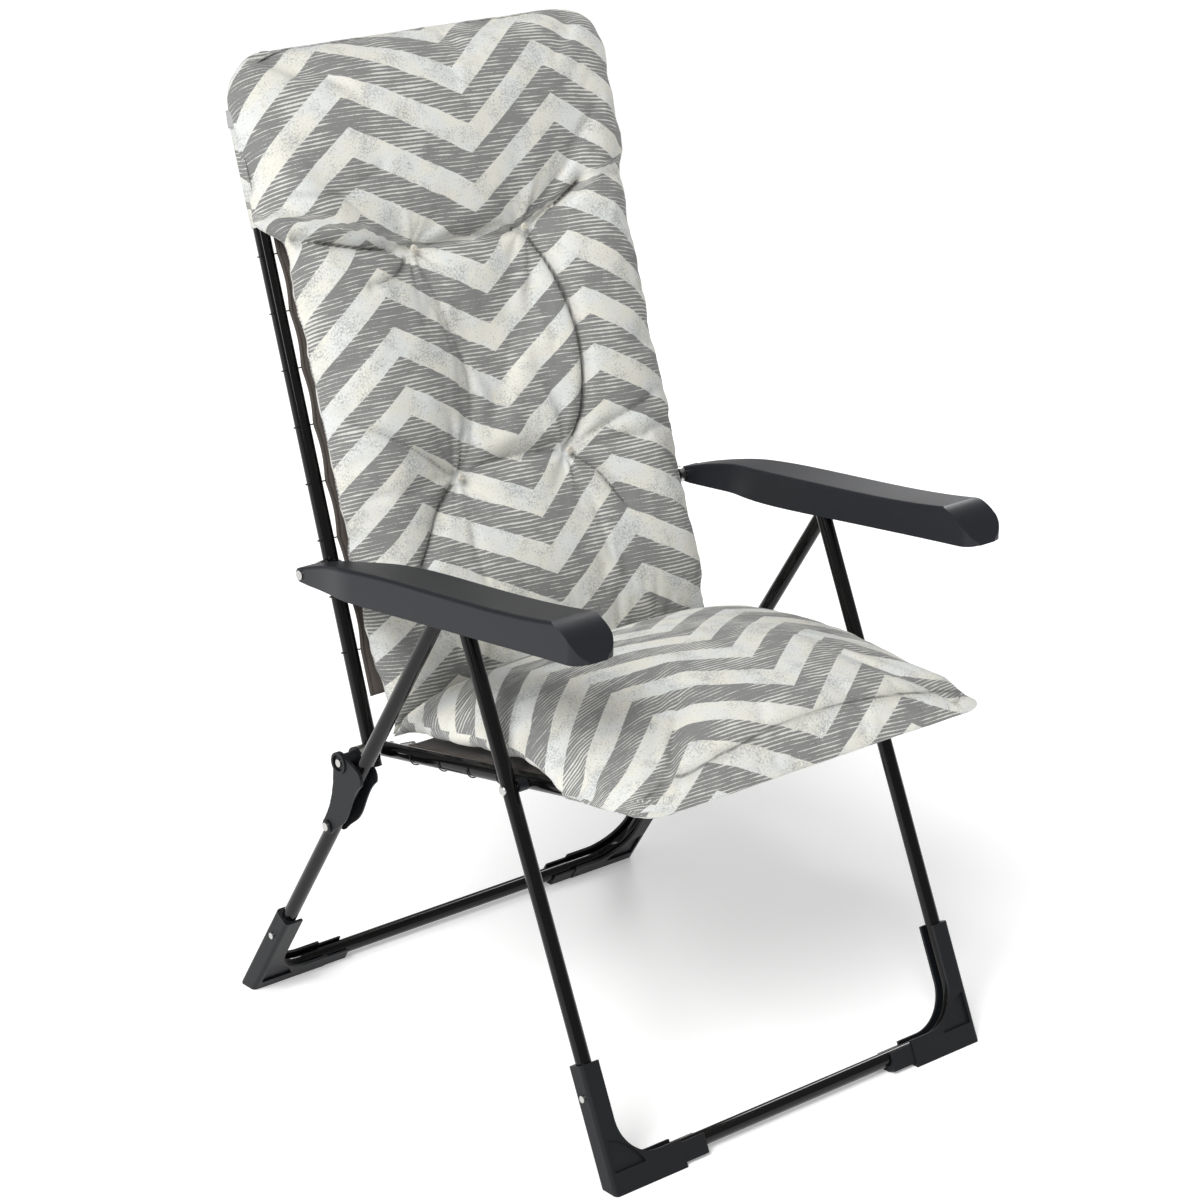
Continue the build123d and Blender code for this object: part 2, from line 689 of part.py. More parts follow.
def make_seat_pad():
    """Seat pad: a thick rounded cushion whose front lip hangs down in front of the seat bar."""
    front = SEAT_DEPTH + TUBE_RADIUS + 2.5
    lip = front + PAD_LIP
    outline = make_face(
        [
            Polyline((2, 20), (2, PAD_BOTTOM), (front, PAD_BOTTOM), (front, -10)),
            Line((front, -10), (lip - 5, -11)),
            ThreePointArc((lip - 5, -11), (lip, 12), (lip - 6, 36)),
            ThreePointArc((lip - 6, 36), (lip - 22, PAD_TOP - 14), (lip - 62, PAD_TOP - 3)),
            ThreePointArc((lip - 62, PAD_TOP - 3), (250, PAD_TOP), (96, PAD_TOP - 5)),
            ThreePointArc((96, PAD_TOP - 5), (45, PAD_TOP - 22), (2, 20)),
        ]
    )
    return cushion(seat_point, outline) - beyond_crease(1)


def make_back_pad():
    """Back pad: a long cushion in three swells, drawn in at two rows of tufts."""
    shoulder = HOOD_TOP - 44
    outline = make_face(
        [
            Polyline((2, 20), (2, PAD_BOTTOM), (HOOD_TOP, PAD_BOTTOM)),
            ThreePointArc((HOOD_TOP, PAD_BOTTOM), (HOOD_TOP - 10, PAD_TOP - 24), (shoulder, PAD_TOP - 8)),
            ThreePointArc((shoulder, PAD_TOP - 8), (430, PAD_TOP), (96, PAD_TOP - 5)),
            ThreePointArc((96, PAD_TOP - 5), (45, PAD_TOP - 22), (2, 20)),
        ]
    )
    body = cushion(back_point, outline)
    for reach in (LOWER_TUFTS, UPPER_TUFTS):
        valley_axis = Plane(origin=(0, *back_point(reach, PAD_VALLEY + VALLEY_RADIUS)), z_dir=(1, 0, 0))
        body -= valley_axis * Cylinder(VALLEY_RADIUS, 2 * PAD_HALF_WIDTH + 20)
        for x in (-TUFT_X, TUFT_X):
            body -= Pos(x, *back_point(reach, TUFT_HEIGHT + TUFT_RADIUS)) * Sphere(TUFT_RADIUS)
    return body - beyond_crease(-1)


def pocket(point_at, half_width, start, end, inner_heights):
    """Thin pocket open towards the frame's pivot and on its pad side."""
    low, high = inner_heights
    plane = frame_plane(point_at, 0)
    length = end - start
    outer = Pos(0, start + length / 2, (low + high) / 2 - HOOD_THICKNESS / 2) * Box(
        2 * half_width, length, high - low + HOOD_THICKNESS
    )
    inner = Pos(0, start + length / 2 - HOOD_THICKNESS, (low + high) / 2 + 5) * Box(
        2 * (half_width - HOOD_THICKNESS), length, high - low + 10
    )
    return plane * (outer - inner)


def make_label():
    """Bare fabric label at the hood's left seam."""
    low = HOOD_HALF_WIDTH
    plane = frame_plane(back_point, 0)
    return plane * (Pos(-low - 1.0, LABEL_REACH, 2) * Box(2.0, 24, 13))


# ---------------------------------------------------------------- assembly


def build_nodes():
    """All named pieces of the chair, in the construction frame."""
    nodes = {
        "front_leg_frame": make_front_legs(),
        "rear_leg_frame": make_rear_legs(),
        "seat_frame": make_seat_frame(),
        "back_frame": make_back_frame(),
        "leg_top_pins": on_both_sides(leg_top_pin),
        "leg_top_washers": on_both_sides(leg_top_washer),
        "seat_rivets": on_both_sides(seat_rivet),
        "seat_spacers": on_both_sides(seat_spacer),
        "back_pivot_pins": on_both_sides(back_pin),
        "back_hinge_bushes": on_both_sides(hinge_bush),
        "arm_pivot_pins": on_both_sides(arm_pin),
        "armrest_bushes": on_both_sides(arm_bush),
        "corner_springs": on_both_sides(corner_spring),
    }
    for name, side in SIDES.items():
        nodes[f"front_foot_{name}"] = foot_with_hole(front_base, front_up, side, FRONT_LEG_X)
        nodes[f"rear_foot_{name}"] = foot_with_hole(rear_base, rear_up, side, REAR_LEG_X)
        nodes[f"link_inner_plate_{name}"] = link_inner_plate(side)
        nodes[f"link_outer_plate_{name}"] = link_outer_plate(side)
        nodes[f"link_spacer_{name}"] = link_spacer(side)
        nodes[f"link_rivets_{name}"] = link_rivets(side)
    nodes["front_foot_screws"] = on_both_sides(
        lambda side: foot_screw(front_base, front_up, side, FRONT_LEG_X)
    )
    nodes["rear_foot_screws"] = on_both_sides(
        lambda side: foot_screw(rear_base, rear_up, side, REAR_LEG_X)
    )
    seat_rear = (-seat_forward[0], -seat_forward[1])
    back_down = (-back_up[0], -back_up[1])
    nodes["seat_end_plugs"] = on_both_sides(
        lambda side: end_plug(SEAT_X, seat_point(-END_OVERHANG), seat_rear, side)
    )
    nodes["back_end_plugs"] = on_both_sides(
        lambda side: end_plug(BACK_X, back_point(-END_OVERHANG), back_down, side)
    )
    armrest = make_armrest()
    rack = make_rack()
    nodes["armrest_right"] = armrest
    nodes["armrest_left"] = mirror(armrest, Plane.YZ)
    nodes["armrest_rack_right"] = rack
    nodes["armrest_rack_left"] = mirror(rack, Plane.YZ)
    nodes["seat_sling"] = make_sling(seat_point, SEAT_X, SEAT_SLING_START, SEAT_DEPTH, BEND_RADIUS)
    nodes["back_sling"] = make_sling(back_point, BACK_X, BACK_SLING_START, BACK_HEIGHT, BACK_BEND)
    nodes["seat_hooks"] = make_hooks(seat_point, SEAT_X, 62, 222, SEAT_HOOKS)
    nodes["back_hooks"] = make_hooks(back_point, BACK_X, 120, 580, BACK_HOOKS)
    nodes["seat_pad"] = make_seat_pad()
    nodes["back_pad"] = make_back_pad()
    nodes["pad_hood"] = pocket(back_point, HOOD_HALF_WIDTH, HOOD_START, HOOD_TOP, (-12, PAD_BOTTOM - 0.5))
    nodes["pad_front_pocket"] = pocket(
        seat_point, PAD_HALF_WIDTH, POCKET_START, SEAT_DEPTH + TUBE_RADIUS + 2, (-11.5, PAD_BOTTOM - 0.5)
    )
    nodes["pad_label"] = make_label()
    return nodes


def main():
    """Build the chair, centre its footprint on the origin and write one STEP file for each piece."""
    nodes = build_nodes()
    box = Compound(list(nodes.values())).bounding_box()
    shift = Pos(0, -box.center().Y, 0)
    for name, solid in nodes.items():
        export_step(shift * solid, f"parts/{name}.step")
    print("moved by y", -box.center().Y, "size", box.size)
    for label, point in (
        ("leg_top", leg_top),
        ("seat_pivot", seat_pivot),
        ("link_pivot", link_pivot),
        ("back_pivot", back_pivot),
        ("arm_pivot", arm_pivot),
    ):
        print(label, point[0] - box.center().Y, point[1])


main()
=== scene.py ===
import json
import logging
import math
from dataclasses import dataclass, field
from typing import Any, Callable

import bmesh
import bpy
import numpy as np
from mathutils import Matrix, Vector, noise


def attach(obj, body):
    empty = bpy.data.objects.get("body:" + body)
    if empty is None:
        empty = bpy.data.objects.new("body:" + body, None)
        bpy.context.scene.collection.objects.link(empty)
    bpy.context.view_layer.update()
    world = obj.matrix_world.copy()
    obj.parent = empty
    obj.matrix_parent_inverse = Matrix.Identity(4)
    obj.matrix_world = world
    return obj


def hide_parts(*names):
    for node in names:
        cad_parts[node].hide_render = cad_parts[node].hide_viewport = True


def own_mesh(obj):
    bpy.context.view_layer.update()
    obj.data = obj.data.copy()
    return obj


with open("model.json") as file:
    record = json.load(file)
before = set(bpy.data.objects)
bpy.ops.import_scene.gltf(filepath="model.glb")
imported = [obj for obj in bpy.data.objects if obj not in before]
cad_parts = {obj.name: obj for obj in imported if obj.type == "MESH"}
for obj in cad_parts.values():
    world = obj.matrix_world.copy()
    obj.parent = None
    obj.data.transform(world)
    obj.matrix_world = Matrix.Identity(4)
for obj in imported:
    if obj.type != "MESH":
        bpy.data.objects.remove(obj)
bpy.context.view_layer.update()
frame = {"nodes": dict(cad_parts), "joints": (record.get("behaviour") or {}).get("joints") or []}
LOG = logging.getLogger("folding_chair")
JOINTS = {joint["name"]: Vector(joint["pos_m"]) for joint in frame["joints"]}
SIDES = (-1, 1)
TURN = 2 * math.pi

Array = np.ndarray
Triple = tuple[float, float, float]
Shape = bmesh.types.BMesh
Piece = bpy.types.Object
Finish = bpy.types.Material
Socket = bpy.types.NodeSocket


# ------------------------------------------------------------------ shading


class Wire:
    """A number carried by a node socket; expressions on it add Math nodes."""

    def __init__(self, shader: "Shader", socket: Socket) -> None:
        """Wrap one output socket of a shader."""
        self.shader = shader
        self.socket = socket

    def math(self, operation: str, *others: Any, first: Any = None) -> "Wire":
        """Add a Math node.

        Args:
            operation: name of the operation.
            others: values or wires that follow this one.
            first: value that goes before this one, for reflected forms.

        Returns:
            The node's result.
        """
        values = [self, *others] if first is None else [first, self]
        node = self.shader.node("ShaderNodeMath", {"operation": operation}, dict(enumerate(values)))
        return Wire(self.shader, node.outputs[0])

    def __add__(self, other: Any) -> "Wire":
        """Sum."""
        return self.math("ADD", other)

    def __radd__(self, other: Any) -> "Wire":
        """Sum with a number on the left."""
        return self.math("ADD", other)

    def __sub__(self, other: Any) -> "Wire":
        """Difference."""
        return self.math("SUBTRACT", other)

    def __rsub__(self, other: Any) -> "Wire":
        """Difference with a number on the left."""
        return self.math("SUBTRACT", first=other)

    def __mul__(self, other: Any) -> "Wire":
        """Product."""
        return self.math("MULTIPLY", other)

    def __rmul__(self, other: Any) -> "Wire":
        """Product with a number on the left."""
        return self.math("MULTIPLY", other)

    def __truediv__(self, other: Any) -> "Wire":
        """Quotient."""
        return self.math("DIVIDE", other)

    def __abs__(self) -> "Wire":
        """Size without sign."""
        return self.math("ABSOLUTE")

    def fraction(self) -> "Wire":
        """Part after the point, from 0 to 1."""
        return self.math("FRACT")

    def sine(self) -> "Wire":
        """Sine of the value in radians."""
        return self.math("SINE")

    def lower(self, other: Any) -> "Wire":
        """The smaller of two values."""
        return self.math("MINIMUM", other)

    def step(self, low: float, high: float) -> "Wire":
        """Smooth step from 0 at low to 1 at high; it falls where low is above high.

        Args:
            low: value where the step starts.
            high: value where it ends.

        Returns:
            The step.
        """
        node = self.shader.node(
            "ShaderNodeMapRange",
            {"interpolation_type": "SMOOTHSTEP"},
            {"Value": self, "From Min": min(low, high), "From Max": max(low, high)},
        )
        rising = Wire(self.shader, node.outputs[0])
        return rising if low < high else 1 - rising


class Shader:
    """Node tree of one material, with one method that makes its nodes."""

    def __init__(self, name: str) -> None:
        """Start an empty material.

        Args:
            name: name of the material.
        """
        self.material = bpy.data.materials.new(name)
        self.material.use_nodes = True
        self.tree = self.material.node_tree
        self.tree.nodes.clear()

    def node(self, kind: str, settings: dict[str, Any], sockets: dict[Any, Any]) -> bpy.types.Node:
        """Make a node.

        Args:
            kind: node type.
            settings: properties that are set before the sockets.
            sockets: values, wires or sockets for its inputs, by name or index.

        Returns:
            The new node.
        """
        node = self.tree.nodes.new(kind)
        for name, value in settings.items():
            setattr(node, name, value)
        for name, value in sockets.items():
            target = node.inputs[name]
            if isinstance(value, Wire):
                self.tree.links.new(value.socket, target)
            elif isinstance(value, Socket):
                self.tree.links.new(value, target)
            else:
                target.default_value = value
        return node

    def place(self, scale: Triple) -> Socket:
        """Object coordinates, in metres times a scale.

        Args:
            scale: factors for the three axes.

        Returns:
            The coordinates.
        """
        where = self.node("ShaderNodeTexCoord", {}, {})
        mapped = self.node("ShaderNodeMapping", {}, {"Vector": where.outputs["Object"], "Scale": scale})
        return mapped.outputs[0]

    def cloth(self, scale: Triple = (1, 1, 1)) -> Socket:
        """The cloth's own coordinates, in metres along and across it, times a scale.

        Args:
            scale: factors for the three axes.

        Returns:
            The coordinates.
        """
        where = self.node("ShaderNodeUVMap", {"uv_map": "cloth"}, {})
        mapped = self.node("ShaderNodeMapping", {}, {"Vector": where.outputs[0], "Scale": scale})
        return mapped.outputs[0]

    def fold(self) -> Wire:
        """How near the cloth is to a deep fold, from 0 to 1, as the pad's mesh holds it; the print is
        darkened by it as painted shade in the folds.
        """
        node = self.node("ShaderNodeAttribute", {"attribute_name": "fold"}, {})
        return Wire(self, node.outputs["Fac"])

    def axes(self, vector: Socket) -> tuple[Wire, Wire, Wire]:
        """The three numbers of a vector."""
        parts = self.node("ShaderNodeSeparateXYZ", {}, {0: vector})
        return tuple(Wire(self, output) for output in parts.outputs)

    def join(self, x: Any, y: Any) -> Socket:
        """A vector of two numbers, with no height."""
        return self.node("ShaderNodeCombineXYZ", {}, {0: x, 1: y}).outputs[0]

    def noise(self, vector: Socket, scale: float, detail: float = 2.0, rough: float = 0.5) -> Wire:
        """Noise from 0 to 1.

        Args:
            vector: where to read it.
            scale: waves for each unit of the coordinates.
            detail: number of finer layers.
            rough: strength of the finer layers.

        Returns:
            The noise.
        """
        node = self.node(
            "ShaderNodeTexNoise",
            {},
            {"Vector": vector, "Scale": scale, "Detail": detail, "Roughness": rough},
        )
        return Wire(self, node.outputs["Fac"])

    def mix(self, share: Any, first: Any, second: Any) -> Socket:
        """Mix two colours.

        Args:
            share: share of the second colour.
            first: colour at 0.
            second: colour at 1.

        Returns:
            The mixed colour.
        """
        colours = [(*c, 1) if isinstance(c, tuple) else c for c in (first, second)]
        node = self.node(
            "ShaderNodeMix",
            {"data_type": "RGBA"},
            {0: share, 6: colours[0], 7: colours[1]},
        )
        return node.outputs[2]

    def bump(self, height: Wire, distance: float, strength: float = 1.0) -> Socket:
        """Bumped normal.

        Args:
            height: height of the surface, as a share.
            distance: height in metres at 1.
            strength: how much of it shows.

        Returns:
            The normal.
        """
        node = self.node(
            "ShaderNodeBump", {}, {"Height": height, "Distance": distance, "Strength": strength}
        )
        return node.outputs[0]

    def finish(self, **sockets: Any) -> Finish:
        """Close the material with a Principled shader, whose sockets are named in words joined by _.

        Args:
            sockets: values or links of the shader's sockets.

        Returns:
            The material.
        """
        named = {name.replace("_", " "): value for name, value in sockets.items()}
        surface = self.node("ShaderNodeBsdfPrincipled", {}, named)
        self.node("ShaderNodeOutputMaterial", {}, {"Surface": surface.outputs[0]})
        return self.material


@dataclass(frozen=True)
class GlossEnamel:
    """Stoved gloss enamel on the steel tubes."""

    name: str = "gloss_enamel"
    color: Triple = (0.0030, 0.0028, 0.0027)
    gloss: float = 0.11

    def make(self) -> Finish:
        """Black enamel with a faint orange peel, dust and rubbed patches.

        Returns:
            The material.
        """
        shader = Shader(self.name)
        place = shader.place((1, 1, 1))
        rubbed = shader.noise(place, 9, 4, 0.6).step(0.5, 0.75)
        dust = shader.noise(place, 260, 3, 0.7).step(0.6, 0.8)
        color = shader.mix(rubbed * 0.4, self.color, tuple(c * 1.9 for c in self.color))
        color = shader.mix(dust * 0.12, color, (0.05, 0.047, 0.043))
        return shader.finish(
            Base_Color=color,
            Roughness=self.gloss + rubbed * 0.07 + dust * 0.06,
            Specular_IOR_Level=0.30,
            Normal=shader.bump(shader.noise(place, 420, 1), 0.00002, 0.5),
        )


@dataclass(frozen=True)
class MouldedPlastic:
    """Anthracite polypropylene with a fine spark grain."""

    name: str
    color: Triple
    rough: float = 0.36

    def make(self) -> Finish:
        """Slightly uneven satin plastic.

        Returns:
            The material.
        """
        shader = Shader(self.name)
        place = shader.place((1, 1, 1))
        cloud = shader.noise(place, 14, 3, 0.55)
        grain = shader.noise(place, 1500, 2, 0.6)
        scuff = shader.noise(shader.place((40, 8, 90)), 6, 4, 0.7).step(0.62, 0.78)
        color = shader.mix(cloud * 0.5, self.color, tuple(c * 1.35 for c in self.color))
        color = shader.mix(scuff * 0.1, color, tuple(c * 2.4 for c in self.color))
        return shader.finish(
            Base_Color=color,
            Roughness=self.rough + cloud * 0.08 + scuff * 0.06,
            Specular_IOR_Level=0.30,
            Normal=shader.bump(grain, 0.00006, 0.35),
        )


@dataclass(frozen=True)
class PlatedSteel:
    """Bright zinc plating on rivets, pins and springs."""

    name: str = "plated_steel"
    color: Triple = (0.62, 0.61, 0.59)
    rough: float = 0.24

    def make(self) -> Finish:
        """Brushed, slightly clouded metal.

        Returns:
            The material.
        """
        shader = Shader(self.name)
        fine = shader.noise(shader.place((900, 250, 900)), 1, 3, 0.6)
        cloud = shader.noise(shader.place((1, 1, 1)), 120, 2)
        return shader.finish(
            Base_Color=shader.mix(cloud * 0.4, self.color, tuple(c * 0.7 for c in self.color)),
            Metallic=1.0,
            Roughness=self.rough + fine * 0.12,
            Normal=shader.bump(fine, 0.00002, 0.4),
        )


@dataclass(frozen=True)
class SlingCloth:
    """Plain taupe cloth of the slings and of the pad's underside."""

    name: str = "taupe_cloth"
    color: Triple = (0.066, 0.053, 0.044)
    yarn: float = 0.0011

    def make(self) -> Finish:
        """Plain weave of twisted yarns with slight slubs.

        Returns:
            The material.
        """
        shader = Shader(self.name)
        place = shader.cloth()
        across, along, _ = shader.axes(place)
        warp = (across * (TURN / self.yarn)).sine()
        weft = (along * (TURN / self.yarn)).sine()
        weave = warp * weft * 0.5 + 0.5
        slub = shader.noise(shader.cloth((1, 14, 1)), 90, 3, 0.6)
        shade = shader.noise(place, 9, 3, 0.6)
        color = shader.mix(weave * 0.35, self.color, tuple(c * 1.9 for c in self.color))
        color = shader.mix(slub.step(0.45, 0.7) * 0.35, color, tuple(c * 2.2 for c in self.color))
        color = shader.mix(shade * 0.3, color, tuple(c * 0.6 for c in self.color))
        return shader.finish(
            Base_Color=color,
            Roughness=0.78,
            Sheen_Weight=0.25,
            Sheen_Roughness=0.5,
            Normal=shader.bump(weave + slub, 0.00025, 0.6),
        )


@dataclass(frozen=True)
class ZigzagPrint:
    """Printed cotton: cream and grey zigzag bands, the grey ones brushed with cream strokes."""

    name: str = "zigzag_print"
    cream: Triple = (0.735, 0.72, 0.645)
    grey: Triple = (0.212, 0.214, 0.209)
    repeat_across: float = 0.290
    repeat_along: float = 0.068
    rise: float = 0.088
    valley: float = 0.005
    right_share: float = 0.45
    first_band: float = 0.712
    stroke_slant: float = 0.05
    stroke_pitch: float = 0.0046
    yarn: float = 0.0009

    def bands(self, shader: Shader) -> Wire:
        """Mask that is 1 on the cream bands, with slightly ragged edges.

        Args:
            shader: node tree that takes the mask.

        Returns:
            The mask.
        """
        ragged = shader.noise(shader.cloth(), 420, 2, 0.7) - 0.5
        loose = shader.noise(shader.cloth(), 45, 2, 0.5) - 0.5
        across, along, _ = shader.axes(shader.cloth())
        turn = ((across + loose * 0.004 - self.valley) / self.repeat_across).fraction()
        climb = (turn / self.right_share).lower((1 - turn) / (1 - self.right_share))
        level = along - climb * self.rise + ragged * 0.0022 + loose * 0.003
        band = ((level - self.first_band) / self.repeat_along).fraction()
        return abs(band - 0.5).step(0.245, 0.262)

    def make(self) -> Finish:
        """Print, flecks, strokes, painted shade in the deep folds, and weave.

        Returns:
            The material.
        """
        shader = Shader(self.name)
        cloth = shader.cloth()
        across, along, _ = shader.axes(cloth)
        cream_mask = self.bands(shader)

        slanted = along + across * self.stroke_slant
        rows = slanted / self.stroke_pitch + shader.noise(cloth, 9, 1, 0.5) * 1.8
        row = rows - rows.fraction()
        dashes = shader.noise(shader.join(across * 24, row * 3.7), 1, 3, 0.6)
        patch = shader.noise(cloth, 17, 2, 0.5)
        grain = shader.noise(cloth, 900, 1, 0.5)
        strokes = dashes * 1.1 + patch * 0.9 + grain * 0.5 - abs(rows.fraction() - 0.5) * 1.5
        strokes = strokes.step(1.05, 1.17)

        speck = shader.noise(cloth, 390, 4, 0.8)
        where = shader.noise(cloth, 26, 3, 0.6)
        flecks = (speck + where * 0.45).step(0.755, 0.845)
        crackle = shader.node(
            "ShaderNodeTexVoronoi", {"feature": "DISTANCE_TO_EDGE"}, {"Vector": cloth, "Scale": 240}
        )
        cracks = Wire(shader, crackle.outputs["Distance"]).step(0.11, 0.02) * where.step(0.44, 0.62)

        tint = shader.noise(cloth, 21, 2, 0.5)
        warm = shader.mix(tint.step(0.35, 0.62), (0.70, 0.715, 0.70), self.cream)
        light = shader.mix(flecks * 0.60 + cracks * 0.34, warm, (0.33, 0.345, 0.345))
        dark = shader.mix(strokes * 0.92, self.grey, (0.68, 0.675, 0.63))
        dark = shader.mix(speck.step(0.50, 0.70) * 0.25, dark, (0.40, 0.40, 0.385))
        light = shader.mix(speck.step(0.52, 0.66) * 0.32, light, (0.42, 0.425, 0.40))
        color = shader.mix(cream_mask, dark, light)
        # Painted shade: the colour goes near black along the deepest folds and the seat's front seam, and
        # a little darker over a wider band round them, standing in for the shade inside the creases.
        fold = shader.fold() + (shader.noise(cloth, 55, 2, 0.5) - 0.5) * 0.10
        color = shader.mix(fold.step(0.76, 0.93) * 0.85, color, (0.055, 0.053, 0.050))
        color = shader.mix(fold.step(0.20, 1.0) * 0.25, color, (0.12, 0.118, 0.11))

        weave = (across * (TURN / self.yarn)).sine() * (along * (TURN / self.yarn)).sine()
        nap = shader.noise(cloth, 1300, 2, 0.6)
        return shader.finish(
            Base_Color=color,
            Roughness=0.86,
            Specular_IOR_Level=0.25,
            Sheen_Weight=0.12,
            Sheen_Roughness=0.6,
            Normal=shader.bump(weave * 0.5 + nap, 0.00018, 0.5),
        )


@dataclass(frozen=True)
class Thread:
    """Twisted cotton thread and the bare woven tag."""

    name: str
    color: Triple

    def make(self) -> Finish:
        """Cream yarn with ply shading.

        Returns:
            The material.
        """
        shader = Shader(self.name)
        place = shader.place((1, 1, 1))
        ply = shader.noise(place, 1900, 2, 0.6)
        return shader.finish(
            Base_Color=shader.mix(ply * 0.6, self.color, tuple(c * 0.55 for c in self.color)),
            Roughness=0.8,
            Normal=shader.bump(ply, 0.0002, 0.6),
        )


@dataclass
class Finishes:
    """All finishes of the chair, each made once."""

    enamel: Finish = field(default_factory=lambda: GlossEnamel().make())
    plastic: Finish = field(
        default_factory=lambda: MouldedPlastic("anthracite_plastic", (0.0125, 0.0138, 0.0175)).make()
    )
    dark_plastic: Finish = field(
        default_factory=lambda: MouldedPlastic("dark_plastic", (0.0058, 0.0066, 0.0085), 0.42).make()
    )
    steel: Finish = field(default_factory=lambda: PlatedSteel().make())
    wire: Finish = field(
        default_factory=lambda: PlatedSteel("dark_wire", (0.04, 0.038, 0.036), 0.34).make()
    )
    taupe: Finish = field(default_factory=lambda: SlingCloth().make())
    printed: Finish = field(default_factory=lambda: ZigzagPrint().make())
    thread: Finish = field(
        default_factory=lambda: Thread("tuft_thread", (0.66, 0.63, 0.55)).make()
    )
    tag: Finish = field(default_factory=lambda: Thread("bare_tag", (0.45, 0.45, 0.46)).make())


# ------------------------------------------------------------------ shared shapes


@dataclass(frozen=True)
class Panel:
    """Side-plane axes of the seat or the back, measured from the rear hinge."""

    lean: float
    pivot: Vector
    forward: bool

    @property
    def heading(self) -> Vector:
        """Unit vector along the frame, away from the hinge.

        Returns:
            The vector.
        """
        angle = math.radians(self.lean)
        if self.forward:
            return Vector((0, -math.cos(angle), math.sin(angle)))
        return Vector((0, math.sin(angle), math.cos(angle)))

    @property
    def upward(self) -> Vector:
        """Unit vector towards the padded side.

        Returns:
            The vector.
        """
        along = self.heading
        if self.forward:
            return Vector((0, along.z, -along.y))
        return Vector((0, -along.z, along.y))

    def points(self, x: Array, reach: Array, height: Array) -> Array:
        """Points of the chair's frame.

        Args:
            x: sideways positions.
            reach: distances from the hinge along the frame.
            height: heights over the tube axis.

        Returns:
            Array of points, one row each.
        """
        base = np.array(self.pivot)[None, :]
        spread = np.outer(reach, np.array(self.heading)) + np.outer(height, np.array(self.upward))
        spread[:, 0] += x
        return base + spread

    def point(self, x: float, reach: float, height: float) -> Vector:
        """One point of the chair's frame."""
        return Vector(self.points(np.array([x]), np.array([reach]), np.array([height]))[0])


BACK = Panel(18.24, JOINTS["recline"], False)
SEAT = Panel(10.35, JOINTS["recline"], True)


class SmoothLine:
    """Smooth line through points in a plane, read by its share of length."""

    def __init__(self, points: list[tuple[float, float]]) -> None:
        """Fit a Catmull-Rom line through the points.

        Args:
            points: the points in order.
        """
        knots = np.array([points[0], *points, points[-1]], float)
        pieces = []
        for index in range(len(points) - 1):
            a, b, c, d = knots[index : index + 4]
            t = np.linspace(0, 1, 24, endpoint=False)[:, None]
            square = (2 * a - 5 * b + 4 * c - d) * t**2
            cube = (3 * b - a - 3 * c + d) * t**3
            pieces.append(0.5 * (2 * b + (c - a) * t + square + cube))
        self.dots = np.vstack([*pieces, knots[-1:]])
        steps = np.linalg.norm(np.diff(self.dots, axis=0), axis=1)
        self.lengths = np.concatenate([[0], np.cumsum(steps)])

    @property
    def length(self) -> float:
        """Whole length."""
        return float(self.lengths[-1])

    def at(self, share: Array) -> Array:
        """Points at shares of the length from 0 to 1."""
        run = np.asarray(share) * self.length
        return np.stack([np.interp(run, self.lengths, self.dots[:, k]) for k in (0, 1)], axis=-1)


def smoothstep(value: Array, low: float, high: float) -> Array:
    """Smooth step of an array from 0 at low to 1 at high."""
    t = np.clip((value - low) / (high - low), 0, 1)
    return t * t * (3 - 2 * t)


def rounded_section(share: Array, width: float, drop: float, power: float) -> tuple[Array, Array]:
    """Half of a plump cross-section, evenly spaced along its cloth.

    Args:
        share: shares of the cloth from the middle, 0, to the seam, 1.
        width: half width.
        drop: height from the middle down to the seam.
        power: squareness, 2 for an ellipse.

    Returns:
        Distances from the middle, and shares of the drop.
    """
    angle = np.linspace(0, math.pi / 2, 160)
    out = width * np.sin(angle) ** (2 / power)
    down = 1 - np.cos(angle) ** (2 / power)
    steps = np.hypot(np.diff(out), drop * np.diff(down))
    run = np.concatenate([[0], np.cumsum(steps)])
    run /= run[-1]
    return np.interp(share, run, out), np.interp(share, run, down)


def dress(piece: Piece, *finishes: Finish) -> Piece:
    """Give an object its finishes, in slot order.

    Args:
        piece: object that takes them.
        finishes: the materials.

    Returns:
        The same object.
    """
    piece.data.materials.clear()
    for finish in finishes:
        piece.data.materials.append(finish)
    return piece


def new_piece(name: str, shape: Shape, *finishes: Finish) -> Piece:
    """Make an object at the origin from a bmesh and give it its finishes.

    Args:
        name: the object's name.
        shape: its shape, which is freed.
        finishes: its materials, in slot order.

    Returns:
        The object.
    """
    mesh = bpy.data.meshes.new(name)
    shape.to_mesh(mesh)
    shape.free()
    mesh.polygons.foreach_set("use_smooth", [True] * len(mesh.polygons))
    piece = bpy.data.objects.new(name, mesh)
    bpy.context.scene.collection.objects.link(piece)
    return dress(piece, *finishes)


def wire_shape(shape: Shape, path: list[Vector], radius: float, sides: int = 8) -> None:
    """Add a round wire that follows points, closed at both ends.

    Args:
        shape: bmesh that takes the wire.
        path: points along the wire.
        radius: half thickness.
        sides: flats round the wire.
    """
    rings = []
    start = (path[1] - path[0]).normalized()
    across = start.orthogonal().normalized()
    for index, point in enumerate(path):
        before = path[max(index - 1, 0)]
        after = path[min(index + 1, len(path) - 1)]
        heading = (after - before).normalized()
        across = (across - heading * across.dot(heading)).normalized()
        turn = Matrix((across, heading.cross(across), heading)).transposed().to_4x4()
        place = Matrix.Translation(point) @ turn
        ring = bmesh.ops.create_circle(shape, cap_ends=False, segments=sides, radius=radius, matrix=place)
        rings.append(ring["verts"])
    for first, second in zip(rings, rings[1:]):
        for index in range(sides):
            after = (index + 1) % sides
            shape.faces.new((first[index], first[after], second[after], second[index]))
    shape.faces.new(list(reversed(rings[0])))
    shape.faces.new(rings[-1])


